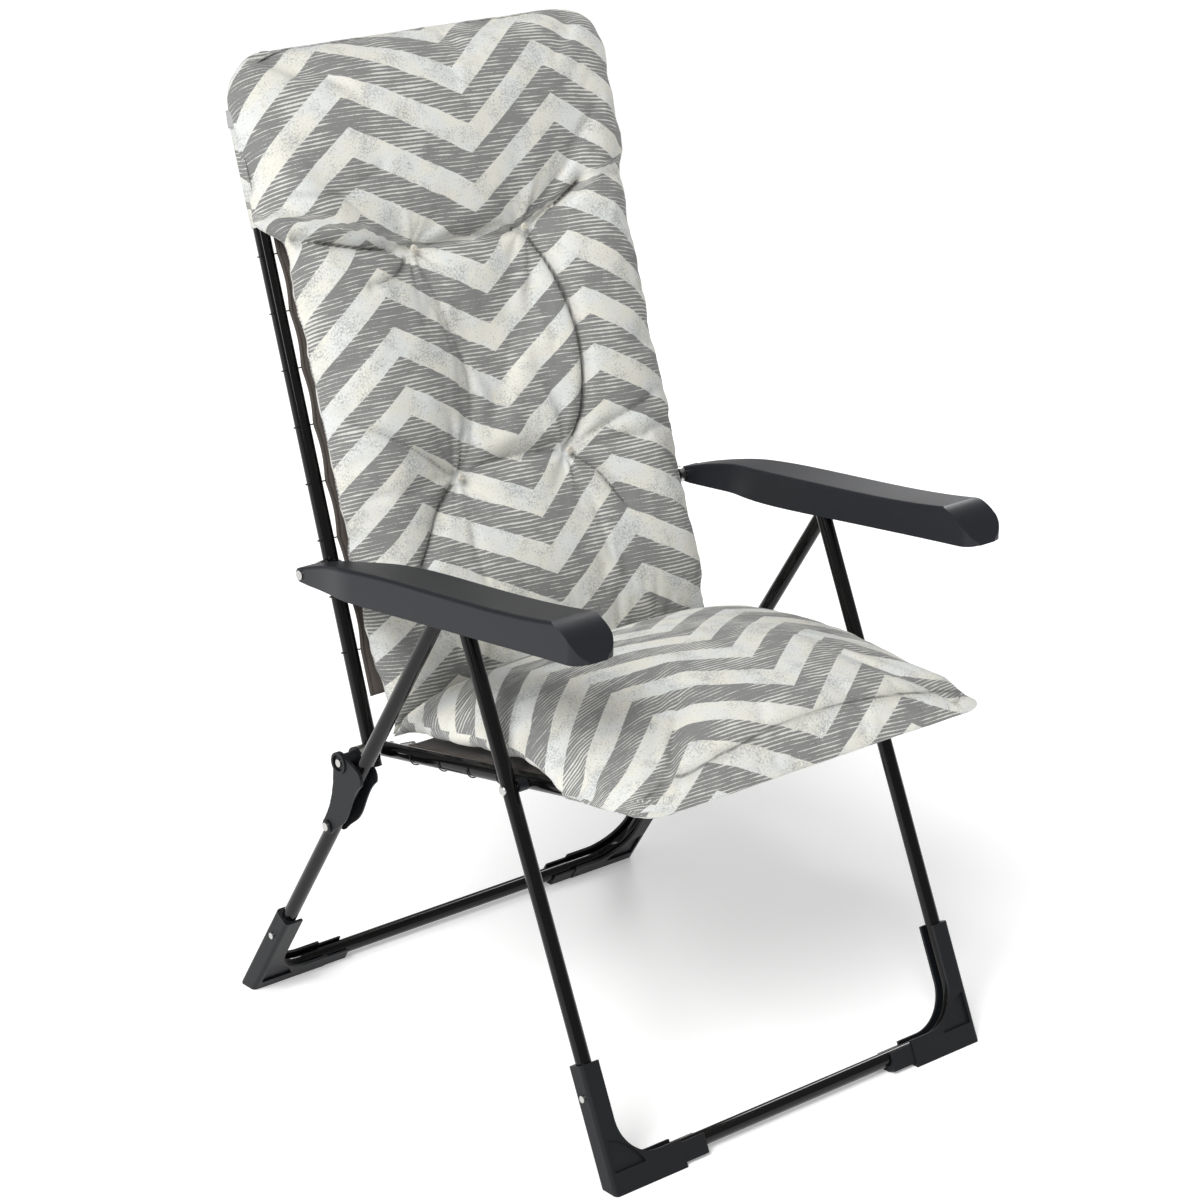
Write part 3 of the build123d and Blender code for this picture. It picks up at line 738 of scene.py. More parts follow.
def bake_modifiers(piece: Piece) -> Array:
    """Apply all modifiers of a piece and return its points.

    Args:
        piece: object with modifiers.

    Returns:
        The new points, one row each.
    """
    deps = bpy.context.evaluated_depsgraph_get()
    shaped = piece.evaluated_get(deps)
    mesh = bpy.data.meshes.new_from_object(shaped, preserve_all_data_layers=True, depsgraph=deps)
    old = piece.data
    piece.modifiers.clear()
    piece.data = mesh
    mesh.name = piece.name
    bpy.data.meshes.remove(old)
    return read_points(piece)


def read_points(piece: Piece) -> Array:
    """Points of a piece's mesh as an array.

    Args:
        piece: object to read.

    Returns:
        The points, one row each.
    """
    flat = np.zeros(len(piece.data.vertices) * 3)
    piece.data.vertices.foreach_get("co", flat)
    return flat.reshape(-1, 3)


def write_points(piece: Piece, points: Array) -> None:
    """Move a piece's mesh to these points."""
    piece.data.vertices.foreach_set("co", points.ravel())
    piece.data.update()


def read_normals(piece: Piece) -> Array:
    """Vertex normals of a piece's mesh as an array.

    Args:
        piece: object to read.

    Returns:
        The normals, one row each.
    """
    flat = np.zeros(len(piece.data.vertices) * 3)
    piece.data.vertex_normals.foreach_get("vector", flat)
    return flat.reshape(-1, 3)


def noise_at(points: Array, seed: float) -> Array:
    """Smooth noise from about -1 to 1 at each point."""
    return np.array([noise.noise(Vector(point) + Vector((seed, 0, -seed))) for point in points])


# ------------------------------------------------------------------ pads


@dataclass(frozen=True)
class Channel:
    """A stitched or drawn line on a pad, through points across and along it."""

    points: tuple[tuple[float, float], ...]
    depth: float
    spread: float = 0.016
    faint: float = 0.0

    def distance(self, spots: Array) -> Array:
        """Distance of each spot on the cloth from the line.

        Args:
            spots: places across and along the pad, one row each.

        Returns:
            The distances.
        """
        dots = SmoothLine(list(self.points)).dots
        nearest = np.full(len(spots), 9.0)
        for start, end in zip(dots, dots[1:]):
            run = end - start
            share = np.clip(((spots - start) @ run) / max(run @ run, 1e-12), 0, 1)
            nearest = np.minimum(nearest, np.linalg.norm(spots - start - share[:, None] * run, axis=1))
        return nearest


@dataclass
class Pad:
    """Closed pad of a printed top sheet and a plain bottom sheet that share one seam all the way round.

    The lines give (reach, height) on the panel, from the end at the crease to the far end.
    """

    name: str
    panel: Panel
    top: SmoothLine
    bottom: SmoothLine
    seam: SmoothLine
    half_width: Callable[[Array], Array]
    cloth_start: float
    cloth_way: float
    tufts: tuple[tuple[float, float], ...]
    tuft_height: float
    channels: tuple[Channel, ...]
    columns: int = 84
    rows: int = 130
    power: float = 2.7
    front_seam: Callable[[Array], Array] | None = None
    front_row: float = 0.94
    front_arch: Callable[[Array], Array] | None = None
    swallow: Callable[[Array, Array], Array] | None = None
    pressure: float = 4.0
    slack: float = -0.015
    frames: int = 20
    cap: float = 0.030
    pucker: float = 0.0018
    scallop: float = 0.0045
    spoke: float = 0.0095
    top_level: float = 0.030
    painted_shade_reach: float = 0.014
    front_start: float = 0.455
    arch_faint: float = 0.0012
    funnel_depth: float = 0.042
    funnel_reach: float = 0.040

    def lay(self, spots: Array, line: SmoothLine, upper: bool) -> tuple[Array, Array, Array]:
        """Place one sheet.

        Args:
            spots: rows of (u, v), with u from -1 to 1 across and v from 0 to 1 along.
            line: the sheet's middle line.
            upper: whether it is the top sheet.

        Returns:
            Points, cloth coordinates in metres, and plan places (x, reach).
        """
        points = np.zeros((len(spots), 3))
        cloth = np.zeros((len(spots), 2))
        plan = np.zeros((len(spots), 2))
        rows = np.round(spots[:, 1], 6)
        for row in np.unique(rows):
            members = np.nonzero(rows == row)[0]
            u = spots[members, 0]
            rim = self.seam.at(np.array([row]))[0]
            width = float(self.half_width(np.array([row]))[0])
            share = np.full(len(members), row)
            if upper and self.front_seam is not None:
                share = self.warp(row, u * width)
            middle = line.at(share)
            drop = float(np.linalg.norm(line.at(np.array([row]))[0] - rim))
            out, down = rounded_section(np.abs(u), width, max(drop, 1e-4), self.power)
            side = middle + (rim - middle) * down[:, None]
            points[members] = self.panel.points(np.sign(u) * out, side[:, 0], side[:, 1])
            lateral = np.sign(u) * self.cloth_across(np.abs(u), width, drop)
            cloth[members, 0] = lateral
            cloth[members, 1] = self.cloth_start + self.cloth_way * share * line.length
            plan[members] = np.stack([np.sign(u) * out, middle[:, 0]], axis=1)
        return points, cloth, plan

    def cloth_across(self, share: Array, width: float, drop: float) -> Array:
        """Distance along the cloth from the middle, for shares of the half section.

        Args:
            share: shares of the half section, from 0 to 1.
            width: half width of the pad there.
            drop: height from the middle down to the seam.

        Returns:
            The distances.
        """
        angle = np.linspace(0, math.pi / 2, 160)
        out = width * np.sin(angle) ** (2 / self.power)
        down = drop * (1 - np.cos(angle) ** (2 / self.power))
        return share * float(np.hypot(np.diff(out), np.diff(down)).sum())

    def warp(self, row: float, x: Array) -> Array:
        """Shift rows near the far end so that one of them follows the front seam.

        Args:
            row: share of the pad's length.
            x: sideways places in that row.

        Returns:
            Shares of the top line.
        """
        seam = self.front_seam(x)
        if row <= self.front_row:
            start = 0.72
            ramp = np.clip((row - start) / (self.front_row - start), 0, 1)
            return row + (seam - self.front_row) * ramp
        return seam + (1 - seam) * (row - self.front_row) / (1 - self.front_row)

    def build(self, finishes: Finishes) -> Piece:
        """Sew, stuff and crease the pad.

        Args:
            finishes: the chair's finishes.

        Returns:
            The finished pad.
        """
        shape = bmesh.new()
        layer = shape.loops.layers.uv.new("cloth")
        bmesh.ops.create_grid(shape, x_segments=self.columns, y_segments=self.rows, size=1)
        shape.verts.ensure_lookup_table()
        spots = np.array([(v.co.x, (v.co.y + 1) / 2) for v in shape.verts])
        count = len(spots)
        copy = bmesh.ops.duplicate(shape, geom=shape.verts[:] + shape.edges[:] + shape.faces[:])
        faces = [item for item in copy["geom"] if isinstance(item, bmesh.types.BMFace)]
        bmesh.ops.reverse_faces(shape, faces=faces)
        for face in faces:
            face.material_index = 1
        shape.verts.ensure_lookup_table()
        below = np.array([(v.co.x, (v.co.y + 1) / 2) for v in shape.verts[count:]])
        points, cloth, plan = self.lay(spots, self.top, True)
        low_points, low_cloth, _ = self.lay(below, self.bottom, False)
        places = np.vstack([points, low_points])
        if self.swallow is not None:
            cloth[:, 1] += self.swallow(plan[:, 0], plan[:, 1])
        sewn = np.vstack([cloth, low_cloth])
        for vert, place in zip(shape.verts, places):
            vert.co = place
        for face in shape.faces:
            for loop in face.loops:
                loop[layer].uv = sewn[loop.vert.index]
        free = shape.verts.layers.float.new("free_sheet")
        for vert in shape.verts:
            vert[free] = 1.0 if vert.index < count and not vert.is_boundary else 0.0
        rim = [v for v in shape.verts if v.is_boundary]
        bmesh.ops.remove_doubles(shape, verts=rim, dist=1e-5)
        bmesh.ops.recalc_face_normals(shape, faces=shape.faces[:])
        piece = new_piece(self.name, shape, finishes.printed, finishes.taupe)
        self.stuff(piece)
        self.mark_painted_fold_shade(piece)
        self.crease(piece)
        return piece

    def plan_of(self, points: Array) -> tuple[Array, Array]:
        """Plan places (x, reach) and heights of points of the chair's frame.

        Args:
            points: points, one row each.

        Returns:
            The places and the heights.
        """
        away = points - np.array(self.panel.pivot)
        reach = away @ np.array(self.panel.heading)
        height = away @ np.array(self.panel.upward)
        return np.stack([points[:, 0], reach], axis=1), height

    def holds(self, piece: Piece, points: Array) -> tuple[Array, Array]:
        """Which points are held while the pad fills, and where each is drawn to.

        Args:
            piece: the sewn pad.
            points: its points.

        Returns:
            Weights of the hold, and the points' aims.
        """
        plan, height = self.plan_of(points)
        free = np.zeros(len(points))
        piece.data.attributes["free_sheet"].data.foreach_get("value", free)
        weight = np.where(free < 0.5, 1.0, 0.0)
        lift = np.zeros(len(points))
        upper = (free > 0.5) & (height > self.top_level)
        for tuft in self.tufts:
            near = np.linalg.norm(plan - np.array(tuft), axis=1)
            pulled = upper & (near < 0.0075)
            weight[pulled] = 1.0
            lift[pulled] = self.tuft_height - height[pulled]
        weight[upper & (plan[:, 1] < 0.060)] = 1.0
        return weight, points + lift[:, None] * np.array(self.panel.upward)

    def quilt(self, piece: Piece) -> None:
        """Draw the top sheet down in a funnel round each tuft and in a groove along each channel.

        Args:
            piece: the filled pad.
        """
        points = read_points(piece)
        plan, height = self.plan_of(points)
        lowered = height.copy()
        for channel in self.channels:
            groove = channel.depth * np.exp(-channel.distance(plan) / channel.spread)
            lowered -= groove * smoothstep(height, self.top_level, 0.048)
        for tuft in self.tufts:
            near = np.linalg.norm(plan - np.array(tuft), axis=1)
            rise = 1 - np.exp(-((near / self.funnel_reach) ** 0.8))
            funnel = self.tuft_height + self.funnel_depth * rise
            drawn = (height > self.top_level) & (near < 0.10)
            lowered = np.where(drawn, np.minimum(lowered, funnel), lowered)
        write_points(piece, points + (lowered - height)[:, None] * np.array(self.panel.upward))

    def stuff(self, piece: Piece) -> None:
        """Fill the pad by a cloth simulation that draws its tufts down meanwhile.

        Args:
            piece: the sewn pad.
        """
        start = read_points(piece)
        write_points(piece, self.simulate(piece, start, *self.holds(piece, start)))
        finer = piece.modifiers.new("finer", "SUBSURF")
        finer.levels = finer.render_levels = 1
        bake_modifiers(piece)
        self.quilt(piece)

    def simulate(
        self, piece: Piece, start: Array, weight: Array, target: Array
    ) -> Array:
        """Run the cloth simulation and return the filled points.

        Args:
            piece: the sewn pad.
            start: its points.
            weight: how firmly each point is held.
            target: where the held points are drawn to.

        Returns:
            The filled points.
        """
        group = piece.vertex_groups.new(name="held")
        for index, value in enumerate(weight):
            if value > 0:
                group.add([index], float(value), "REPLACE")
        piece.shape_key_add(name="sewn")
        drawn = piece.shape_key_add(name="drawn")
        drawn.data.foreach_set("co", target.ravel())
        drawn.value = 0
        drawn.keyframe_insert("value", frame=1)
        drawn.value = 1
        drawn.keyframe_insert("value", frame=int(self.frames * 0.6))
        cloth = piece.modifiers.new("filling", "CLOTH")
        settings = cloth.settings
        settings.quality = 6
        settings.mass = 0.25
        settings.tension_stiffness = 22
        settings.compression_stiffness = 18
        settings.shear_stiffness = 6
        settings.bending_stiffness = 0.35
        settings.use_pressure = True
        settings.uniform_pressure_force = self.pressure
        settings.vertex_group_mass = "held"
        settings.pin_stiffness = 1
        settings.shrink_min = self.slack
        settings.effector_weights.gravity = 0
        cloth.collision_settings.use_collision = False
        cloth.point_cache.frame_start = 1
        cloth.point_cache.frame_end = self.frames
        scene = bpy.context.scene
        for step in range(1, self.frames + 1):
            scene.frame_set(step)
        deps = bpy.context.evaluated_depsgraph_get()
        filled = read_points(piece.evaluated_get(deps))
        piece.modifiers.clear()
        piece.shape_key_clear()
        piece.vertex_groups.clear()
        scene.frame_set(1)
        move = filled - start
        size = np.linalg.norm(move, axis=1)
        return start + move * np.minimum(1, self.cap / np.maximum(size, 1e-9))[:, None]

    def mark_painted_fold_shade(self, piece: Piece) -> None:
        """Write how near each point of the top sheet is to a deep fold or to the seat's front seam, as the
        mask of the print's painted shade in the folds.

        Args:
            piece: the quilted pad.
        """
        plan, height = self.plan_of(read_points(piece))
        away = np.full(len(plan), 1.0)
        in_front = np.full(len(plan), False)
        for channel in self.channels:
            away = np.minimum(away, channel.distance(plan) + channel.faint)
        if self.front_arch is not None:
            arch = np.abs(height - self.front_arch(plan[:, 0])) + self.arch_faint
            away = np.minimum(away, np.where(plan[:, 1] > self.front_start, arch, 1.0))
            in_front = plan[:, 1] > self.front_start
        near = np.clip(1 - away / self.painted_shade_reach, 0, 1)
        near = np.where((height > self.top_level) | in_front, near, 0.0)
        piece.data.attributes.new("fold", "FLOAT", "POINT").data.foreach_set("value", near)

    def crease(self, piece: Piece) -> None:
        """Add the fine puckers along the seam and the folds that run out from each tuft.

        Args:
            piece: the quilted pad.
        """
        points = read_points(piece)
        normals = read_normals(piece)
        plan, height = self.plan_of(points)
        width = np.interp(plan[:, 1], *self.width_table())
        inside = np.clip(width - np.abs(plan[:, 0]), 0, 1)
        along = np.stack([plan[:, 1] * 58, inside * 9, height * 12], axis=1)
        push = self.pucker * noise_at(along, 3.1) * np.exp(-inside / 0.030)
        scallops = np.stack([plan[:, 1] * 23, np.sign(plan[:, 0]) * 4, height * 6], axis=1)
        push += self.scallop * noise_at(scallops, 5.3) * np.exp(-inside / 0.045)
        for index, tuft in enumerate(self.tufts):
            away = plan - np.array(tuft)
            radius = np.linalg.norm(away, axis=1)
            angle = np.arctan2(away[:, 1], away[:, 0])
            spokes = np.stack([np.cos(angle) * 3.2, np.sin(angle) * 3.2, radius * 7], axis=1)
            fade = np.exp(-radius / 0.050) * smoothstep(radius, 0.004, 0.018)
            push += self.spoke * noise_at(spokes, 7.7 + index) * fade * (height > self.top_level)
        push += 0.0006 * noise_at(points * 34, 1.7)
        write_points(piece, points + normals * push[:, None])

    def width_table(self) -> tuple[Array, Array]:
        """Reach and half width down the pad, for looking one up from the other.

        Returns:
            Reaches in rising order, and the half widths there.
        """
        share = np.linspace(0, 1, 120)
        reach = self.seam.at(share)[:, 0]
        order = np.argsort(reach)
        return reach[order], self.half_width(share)[order]


@dataclass
class Pads:
    """The quilted pad: back with hood, seat with front pocket, tufts and tag."""

    back_half_width: float = 0.2485
    hood_half_width: float = 0.2715
    seat_half_width: float = 0.2495
    hood_start: float = 0.606
    tuft_height: float = 0.036
    upper_tufts: float = 0.555
    lower_tufts: float = 0.285
    tuft_x: float = 0.082
    tucked_cloth: float = 0.038
    hood_corner: float = 0.062
    hood_end: float = 0.8065
    seat_corner: float = 0.030
    seat_end: float = 0.4835
    crease_narrowing: float = 0.012
    button: float = 0.0052
    loop_width: float = 0.0034
    loop_depth: float = 0.0022
    thread_radius: float = 0.0007
    tag_x: float = 0.2695
    tag_reach: float = 0.737
    tag_length: float = 0.020
    tag_thickness: float = 0.0009

    def drawn_in(self, reach: Array, end: float, corner: float) -> Array:
        """How far the side seam is drawn in at the round far corner and at the crease.

        Args:
            reach: distances from the hinge along the seam.
            end: reach of the pad's far end.
            corner: radius of its corners.

        Returns:
            Widths to take off on each side.
        """
        into = np.clip(reach - (end - corner), 0, corner)
        rounding = corner - np.sqrt(np.maximum(corner**2 - into**2, 0))
        return rounding + self.crease_narrowing * (1 - smoothstep(reach, 0.03, 0.12))

    def back_width(self, share: Array) -> Array:
        """Half width of the back pad by share of its length.

        Args:
            share: shares of the side seam.

        Returns:
            The half widths.
        """
        reach = self.back_seam().at(share)[:, 0]
        width = self.back_half_width + (self.hood_half_width - self.back_half_width) * smoothstep(
            reach, self.hood_start - 0.02, self.hood_start + 0.012
        )
        return width - self.drawn_in(reach, self.hood_end, self.hood_corner)

    def back_seam(self) -> SmoothLine:
        """Side seam of the back pad.

        Returns:
            The line.
        """
        return SmoothLine(
            [(0.014, 0.014), (0.032, 0.027), (0.060, 0.030), (0.30, 0.029), (0.560, 0.026),
             (0.598, 0.020), (0.625, 0.008), (0.720, 0.006), (0.780, 0.006), (0.8065, 0.004)]
        )

    def seat_seam(self) -> SmoothLine:
        """Side seam of the seat pad.

        Returns:
            The line.
        """
        return SmoothLine(
            [(0.014, 0.014), (0.032, 0.030), (0.060, 0.040), (0.200, 0.042), (0.270, 0.035),
             (0.318, 0.014), (0.352, -0.003), (0.430, -0.007), (0.470, -0.009), (0.4835, -0.0125)]
        )

    def seat_width(self, share: Array) -> Array:
        """Half width of the seat pad by share of its length.

        Args:
            share: shares of the side seam.

        Returns:
            The half widths.
        """
        reach = self.seat_seam().at(share)[:, 0]
        width = self.seat_half_width + 0.007 * smoothstep(reach, 0.28, 0.36)
        return width - self.drawn_in(reach, self.seat_end, self.seat_corner)

    def swallowed(self, x: Array, reach: Array) -> Array:
        """Cloth that is tucked away in the upper channel, as a jump of the print."""
        line = self.upper_tufts + 0.004 + 0.5 * np.clip(np.abs(x) - self.tuft_x, 0, 1) ** 1.1
        return np.where(reach > line, self.tucked_cloth, 0.0)

    def back_pad(self) -> Pad:
        """The long back pad.

        Returns:
            The pad, not yet built.
        """
        x, low, high = self.tuft_x, self.lower_tufts, self.upper_tufts
        return Pad(
            name="back_cushion",
            panel=BACK,
            top=SmoothLine(
                [(0.014, 0.014), (0.024, 0.025), (0.038, 0.040), (0.053, 0.052), (0.076, 0.0605),
                 (0.13, 0.064), (0.285, 0.063), (0.42, 0.065), (0.555, 0.063), (0.68, 0.061),
                 (0.760, 0.056), (0.788, 0.046), (0.803, 0.030), (0.8075, 0.016), (0.8065, 0.004)]
            ),
            bottom=SmoothLine(
                [(0.014, 0.014), (0.060, 0.0085), (0.120, 0.0062), (0.400, 0.0060), (0.700, 0.0062),
                 (0.750, 0.0085), (0.778, 0.0108), (0.795, 0.0112), (0.803, 0.009), (0.8065, 0.004)]
            ),
            seam=self.back_seam(),
            half_width=self.back_width,
            cloth_start=0.0,
            cloth_way=1.0,
            tufts=((-x, high), (x, high), (-x, low), (x, low)),
            tuft_height=self.tuft_height,
            channels=(
                Channel(
                    ((-0.240, 0.592), (-0.16, 0.568), (-x, high), (0, high + 0.006), (x, high),
                     (0.13, 0.572), (0.172, 0.596)), 0.021, 0.010,
                ),
                Channel(
                    ((-x, low), (-0.040, low + 0.010), (0.03, low + 0.008), (x, low)), 0.015, 0.011, 0.0016
                ),
                Channel(((x, high), (0.104, 0.50), (0.117, 0.42), (0.108, 0.33), (x, low)), 0.013, 0.006),
                Channel(
                    ((-x, high), (-0.060, 0.48), (-0.043, 0.40), (-0.055, 0.33), (-x, low)),
                    0.009, 0.009, 0.0020,
                ),
                Channel(((-x, low), (-0.150, 0.330), (-0.220, 0.375)), 0.008, 0.006, 0.0016),
                Channel(((-x, low), (-0.130, 0.250), (-0.170, 0.200)), 0.010, 0.006, 0.0010),
                Channel(((x, low), (0.120, 0.250), (0.140, 0.210)), 0.010, 0.006, 0.0010),
                Channel(((x, low), (0.150, 0.310), (0.205, 0.325)), 0.007, 0.006, 0.0018),
                Channel(((-x, high), (-0.120, 0.530), (-0.165, 0.522)), 0.008, 0.006, 0.0016),
                Channel(((-0.240, 0.640), (-0.180, 0.632), (-0.120, 0.652)), 0.004, 0.006, 0.0030),
            ),
            swallow=self.swallowed,
        )

    def seat_pad(self) -> Pad:
        """The seat pad with its front lip.

        Returns:
            The pad, not yet built.
        """
        top = SmoothLine(
            [(0.014, 0.014), (0.024, 0.028), (0.038, 0.048), (0.053, 0.064), (0.080, 0.078),
             (0.13, 0.085), (0.22, 0.084), (0.33, 0.076), (0.42, 0.065), (0.462, 0.052), (0.479, 0.036),
             (0.487, 0.018), (0.488, 0.000), (0.4835, -0.0125)]
        )

        def arch(x: Array) -> Array:
            """Height of the arched front seam."""
            return 0.006 + 0.036 * np.clip(1 - (x / 0.236) ** 2, 0, 1)

        def seam_share(x: Array) -> Array:
            """Share of the top line at which the arched front seam lies.

            Args:
                x: sideways places.

            Returns:
                The shares.
            """
            height = arch(x)
            front = top.dots[-160:]
            runs = top.lengths[-160:] / top.length
            order = np.argsort(front[:, 1])
            return np.interp(height, front[order, 1], runs[order])

        return Pad(
            name="seat_cushion",
            panel=SEAT,
            top=top,
            bottom=SmoothLine(
                [(0.014, 0.014), (0.060, 0.0085), (0.120, 0.0062), (0.300, 0.0060), (0.410, 0.0075),
                 (0.444, 0.0110), (0.462, 0.0105), (0.472, 0.000), (0.4835, -0.0125)]
            ),
            seam=self.seat_seam(),
            half_width=self.seat_width,
            cloth_start=0.0,
            cloth_way=-1.0,
            tufts=(),
            tuft_height=self.tuft_height,
            channels=(),
            rows=92,
            front_seam=seam_share,
            front_row=0.90,
            front_arch=arch,
        )

    def build(self, finishes: Finishes) -> None:
        """Make every piece of the pad.

        Args:
            finishes: the chair's finishes.
        """
        back = self.back_pad().build(finishes)
        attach(back, "back")
        BACK.point(0, 0.2, 0.006)
        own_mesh(back)
        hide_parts("back_pad")
        seat = self.seat_pad().build(finishes)
        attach(seat, "seat")
        SEAT.point(0, 0.2, 0.006)
        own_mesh(seat)
        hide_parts("seat_pad")
        for name, piece in (("back cushion", back), ("seat cushion", seat)):
            LOG.info("%s: %d faces", name, len(piece.data.polygons))
        Cover(
            name="hood_cover",
            panel=BACK,
            start=0.612,
            end=0.8035,
            half_width=0.268,
            corner=0.066,
            rim_height=0.0145,
            body="back",
            node="pad_hood",
            pad=self.back_pad(),
        ).build(finishes)
        Cover(
            name="front_pocket_cover",
            panel=SEAT,
            start=0.335,
            end=0.4775,
            half_width=0.2480,
            corner=0.034,
            rim_height=0.006,
            body="seat",
            node="pad_front_pocket",
            pad=self.seat_pad(),
        ).build(finishes)
        self.stitches(finishes)
        self.tag(finishes)

    def stitches(self, finishes: Finishes) -> None:
        """Thread loops that hold the four tufts.

        Args:
            finishes: the chair's finishes.
        """
        shape = bmesh.new()
        for x in (-self.tuft_x, self.tuft_x):
            for reach in (self.upper_tufts, self.lower_tufts):
                centre = BACK.point(x, reach, self.tuft_height + 0.002)
                turn = Matrix((Vector((1, 0, 0)), BACK.heading, -BACK.upward)).transposed().to_4x4()
                place = Matrix.Translation(centre) @ turn
                knob = bmesh.ops.create_uvsphere(
                    shape, u_segments=16, v_segments=8, radius=self.button, matrix=place
                )
                for vert in knob["verts"]:
                    away = vert.co - centre
                    vert.co -= BACK.upward * away.dot(BACK.upward) * 0.55
                loop = [
                    centre
                    + Vector((1, 0, 0)) * self.loop_width * math.cos(a)
                    + BACK.heading * self.loop_depth * math.sin(a)
                    + BACK.upward * self.loop_depth
                    for a in np.linspace(0, TURN * 0.96, 14)
                ]
                wire_shape(shape, loop, self.thread_radius, 6)
        piece = new_piece("tuft_stitches", shape, finishes.thread)
        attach(piece, "back")
        LOG.info("tuft stitches: %d faces", len(piece.data.polygons))

    def tag(self, finishes: Finishes) -> None:
        """Bare folded tag in the hood's left seam.

        Args:
            finishes: the chair's finishes.
        """
        shape = bmesh.new()
        bmesh.ops.create_grid(shape, x_segments=6, y_segments=8, size=0.5)
        for vert in shape.verts:
            out = vert.co.x + 0.5
            vert.co = BACK.point(
                -self.tag_x - 0.0012 * out,
                self.tag_reach + self.tag_length * vert.co.y,
                0.0085 - 0.0095 * out + 0.0008 * math.sin(5 * vert.co.y),
            )
        piece = new_piece("side_tag", shape, finishes.tag)
        wall = piece.modifiers.new("thickness", "SOLIDIFY")
        wall.thickness = self.tag_thickness
        wall.offset = 0
        bake_modifiers(piece)
        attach(piece, "back")
        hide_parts("pad_label")
        LOG.info("side tag: %d faces", len(piece.data.polygons))


@dataclass
class Cover:
    """Printed pocket that slips over the end of a frame: a flat panel with a wall round three sides."""

    name: str
    panel: Panel
    start: float
    end: float
    half_width: float
    corner: float
    rim_height: float
    body: str
    node: str
    pad: Pad
    back_height: float = -0.0112
    roll: float = 0.012
    thickness: float = 0.0012
    wall_steps: int = 7

    def outline(self, reach: float) -> float:
        """Half width of the pocket at a reach."""
        into = min(max(reach - (self.end - self.corner), 0), self.corner)
        return self.half_width - (self.corner - math.sqrt(max(self.corner**2 - into**2, 0)))

    def build(self, finishes: Finishes) -> Piece:
        """Args:
            finishes: the chair's finishes.

        Returns:
            The pocket.
        """
        roll = self.roll
        shape = bmesh.new()
        layer = shape.loops.layers.uv.new("cloth")
        bmesh.ops.create_grid(shape, x_segments=60, y_segments=24, size=0.5)
        for vert in shape.verts:
            share = vert.co.y + 0.5
            reach = self.start + (self.end - roll - self.start) * share
            width = self.outline(reach + roll * share) - roll
            sag = 0.0016 * noise.noise(Vector((vert.co.x * 7, share * 5, 4.2)))
            vert.co = Vector((vert.co.x * 2 * width, reach, self.back_height + sag * (1 - share * 0.5)))
        rim = [e for e in shape.edges if e.is_boundary]
        rim = [e for e in rim if not all(abs(v.co.y - self.start) < 1e-6 for v in e.verts)]
        turn = math.pi / 2 / self.wall_steps
        middle = self.back_height + roll
        for step in range(1, self.wall_steps + 1):
            grown = bmesh.ops.extrude_edge_only(shape, edges=rim)["geom"]
            verts = [item for item in grown if isinstance(item, bmesh.types.BMVert)]
            angle = turn * step
            last = turn * (step - 1)
            for vert in verts:
                side = self.side_of(vert.co)
                vert.co += side * roll * (math.sin(angle) - math.sin(last))
                vert.co.z = middle - roll * math.cos(angle)
            rim = [item for item in grown if isinstance(item, bmesh.types.BMEdge)]
            rim = [e for e in rim if e.is_boundary and not self.on_mouth(e)]
        grown = bmesh.ops.extrude_edge_only(shape, edges=rim)["geom"]
        for vert in (item for item in grown if isinstance(item, bmesh.types.BMVert)):
            vert.co.z = self.rim_height
        for face in shape.faces:
            centre = face.calc_center_median()
            for loop in face.loops:
                place = loop.vert.co
                if centre.z < self.back_height + 0.0008:
                    loop[layer].uv = (place.x + 0.05, place.y + place.z * 0.9)
                else:
                    loop[layer].uv = self.run_on(place, centre)
        for vert in shape.verts:
            vert.co = self.panel.point(vert.co.x, vert.co.y, vert.co.z)
        piece = new_piece(self.name, shape, finishes.printed)
        area = sum(face.area for face in piece.data.polygons)
        wide, deep = 2 * (self.half_width + 0.022), self.end - self.start + 0.026
        wall = piece.modifiers.new("thickness", "SOLIDIFY")
        wall.thickness = self.thickness
        wall.offset = 0
        finer = piece.modifiers.new("finer", "SUBSURF")
        finer.levels = finer.render_levels = 1
        bake_modifiers(piece)
        cloth_area = min(area, wide * deep)
        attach(piece, self.body)
        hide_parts(self.node)
        LOG.info("%s: %d faces", self.name, len(piece.data.polygons))
        return piece

    def run_on(self, place: Vector, centre: Vector) -> tuple[float, float]:
        """Cloth place of the wall, where the print runs on from the pad's side seam.

        Args:
            place: place on the pocket, across, along and up.
            centre: middle of the face that the place belongs to.

        Returns:
            Places across and along the cloth.
        """
        seam = self.pad.seam.at(np.linspace(0, 1, 160))
        order = np.argsort(seam[:, 0])
        row = float(np.interp(place.y, seam[order, 0], np.linspace(0, 1, 160)[order]))
        rim = self.pad.seam.at(np.array([row]))[0]
        drop = float(np.linalg.norm(self.pad.top.at(np.array([row]))[0] - rim))
        width = float(self.pad.half_width(np.array([row]))[0])
        edge = float(self.pad.cloth_across(np.array([1.0]), width, drop)[0])
        along = self.pad.cloth_start + self.pad.cloth_way * row * self.pad.top.length
        if self.pad.swallow is not None:
            along += float(self.pad.swallow(np.array([place.x]), np.array([place.y]))[0])
        below = float(rim[1]) - place.z
        if abs(self.side_of(centre).y) > 0.7:
            return place.x * edge / width, along + self.pad.cloth_way * below
        inward = max(self.half_width - abs(place.x), 0.0)
        return math.copysign(edge + below + inward, centre.x), along

    def on_mouth(self, edge: bmesh.types.BMEdge) -> bool:
        """Whether an edge lies on the pocket's open end."""
        return all(abs(vert.co.y - self.start) < 1e-6 for vert in edge.verts)

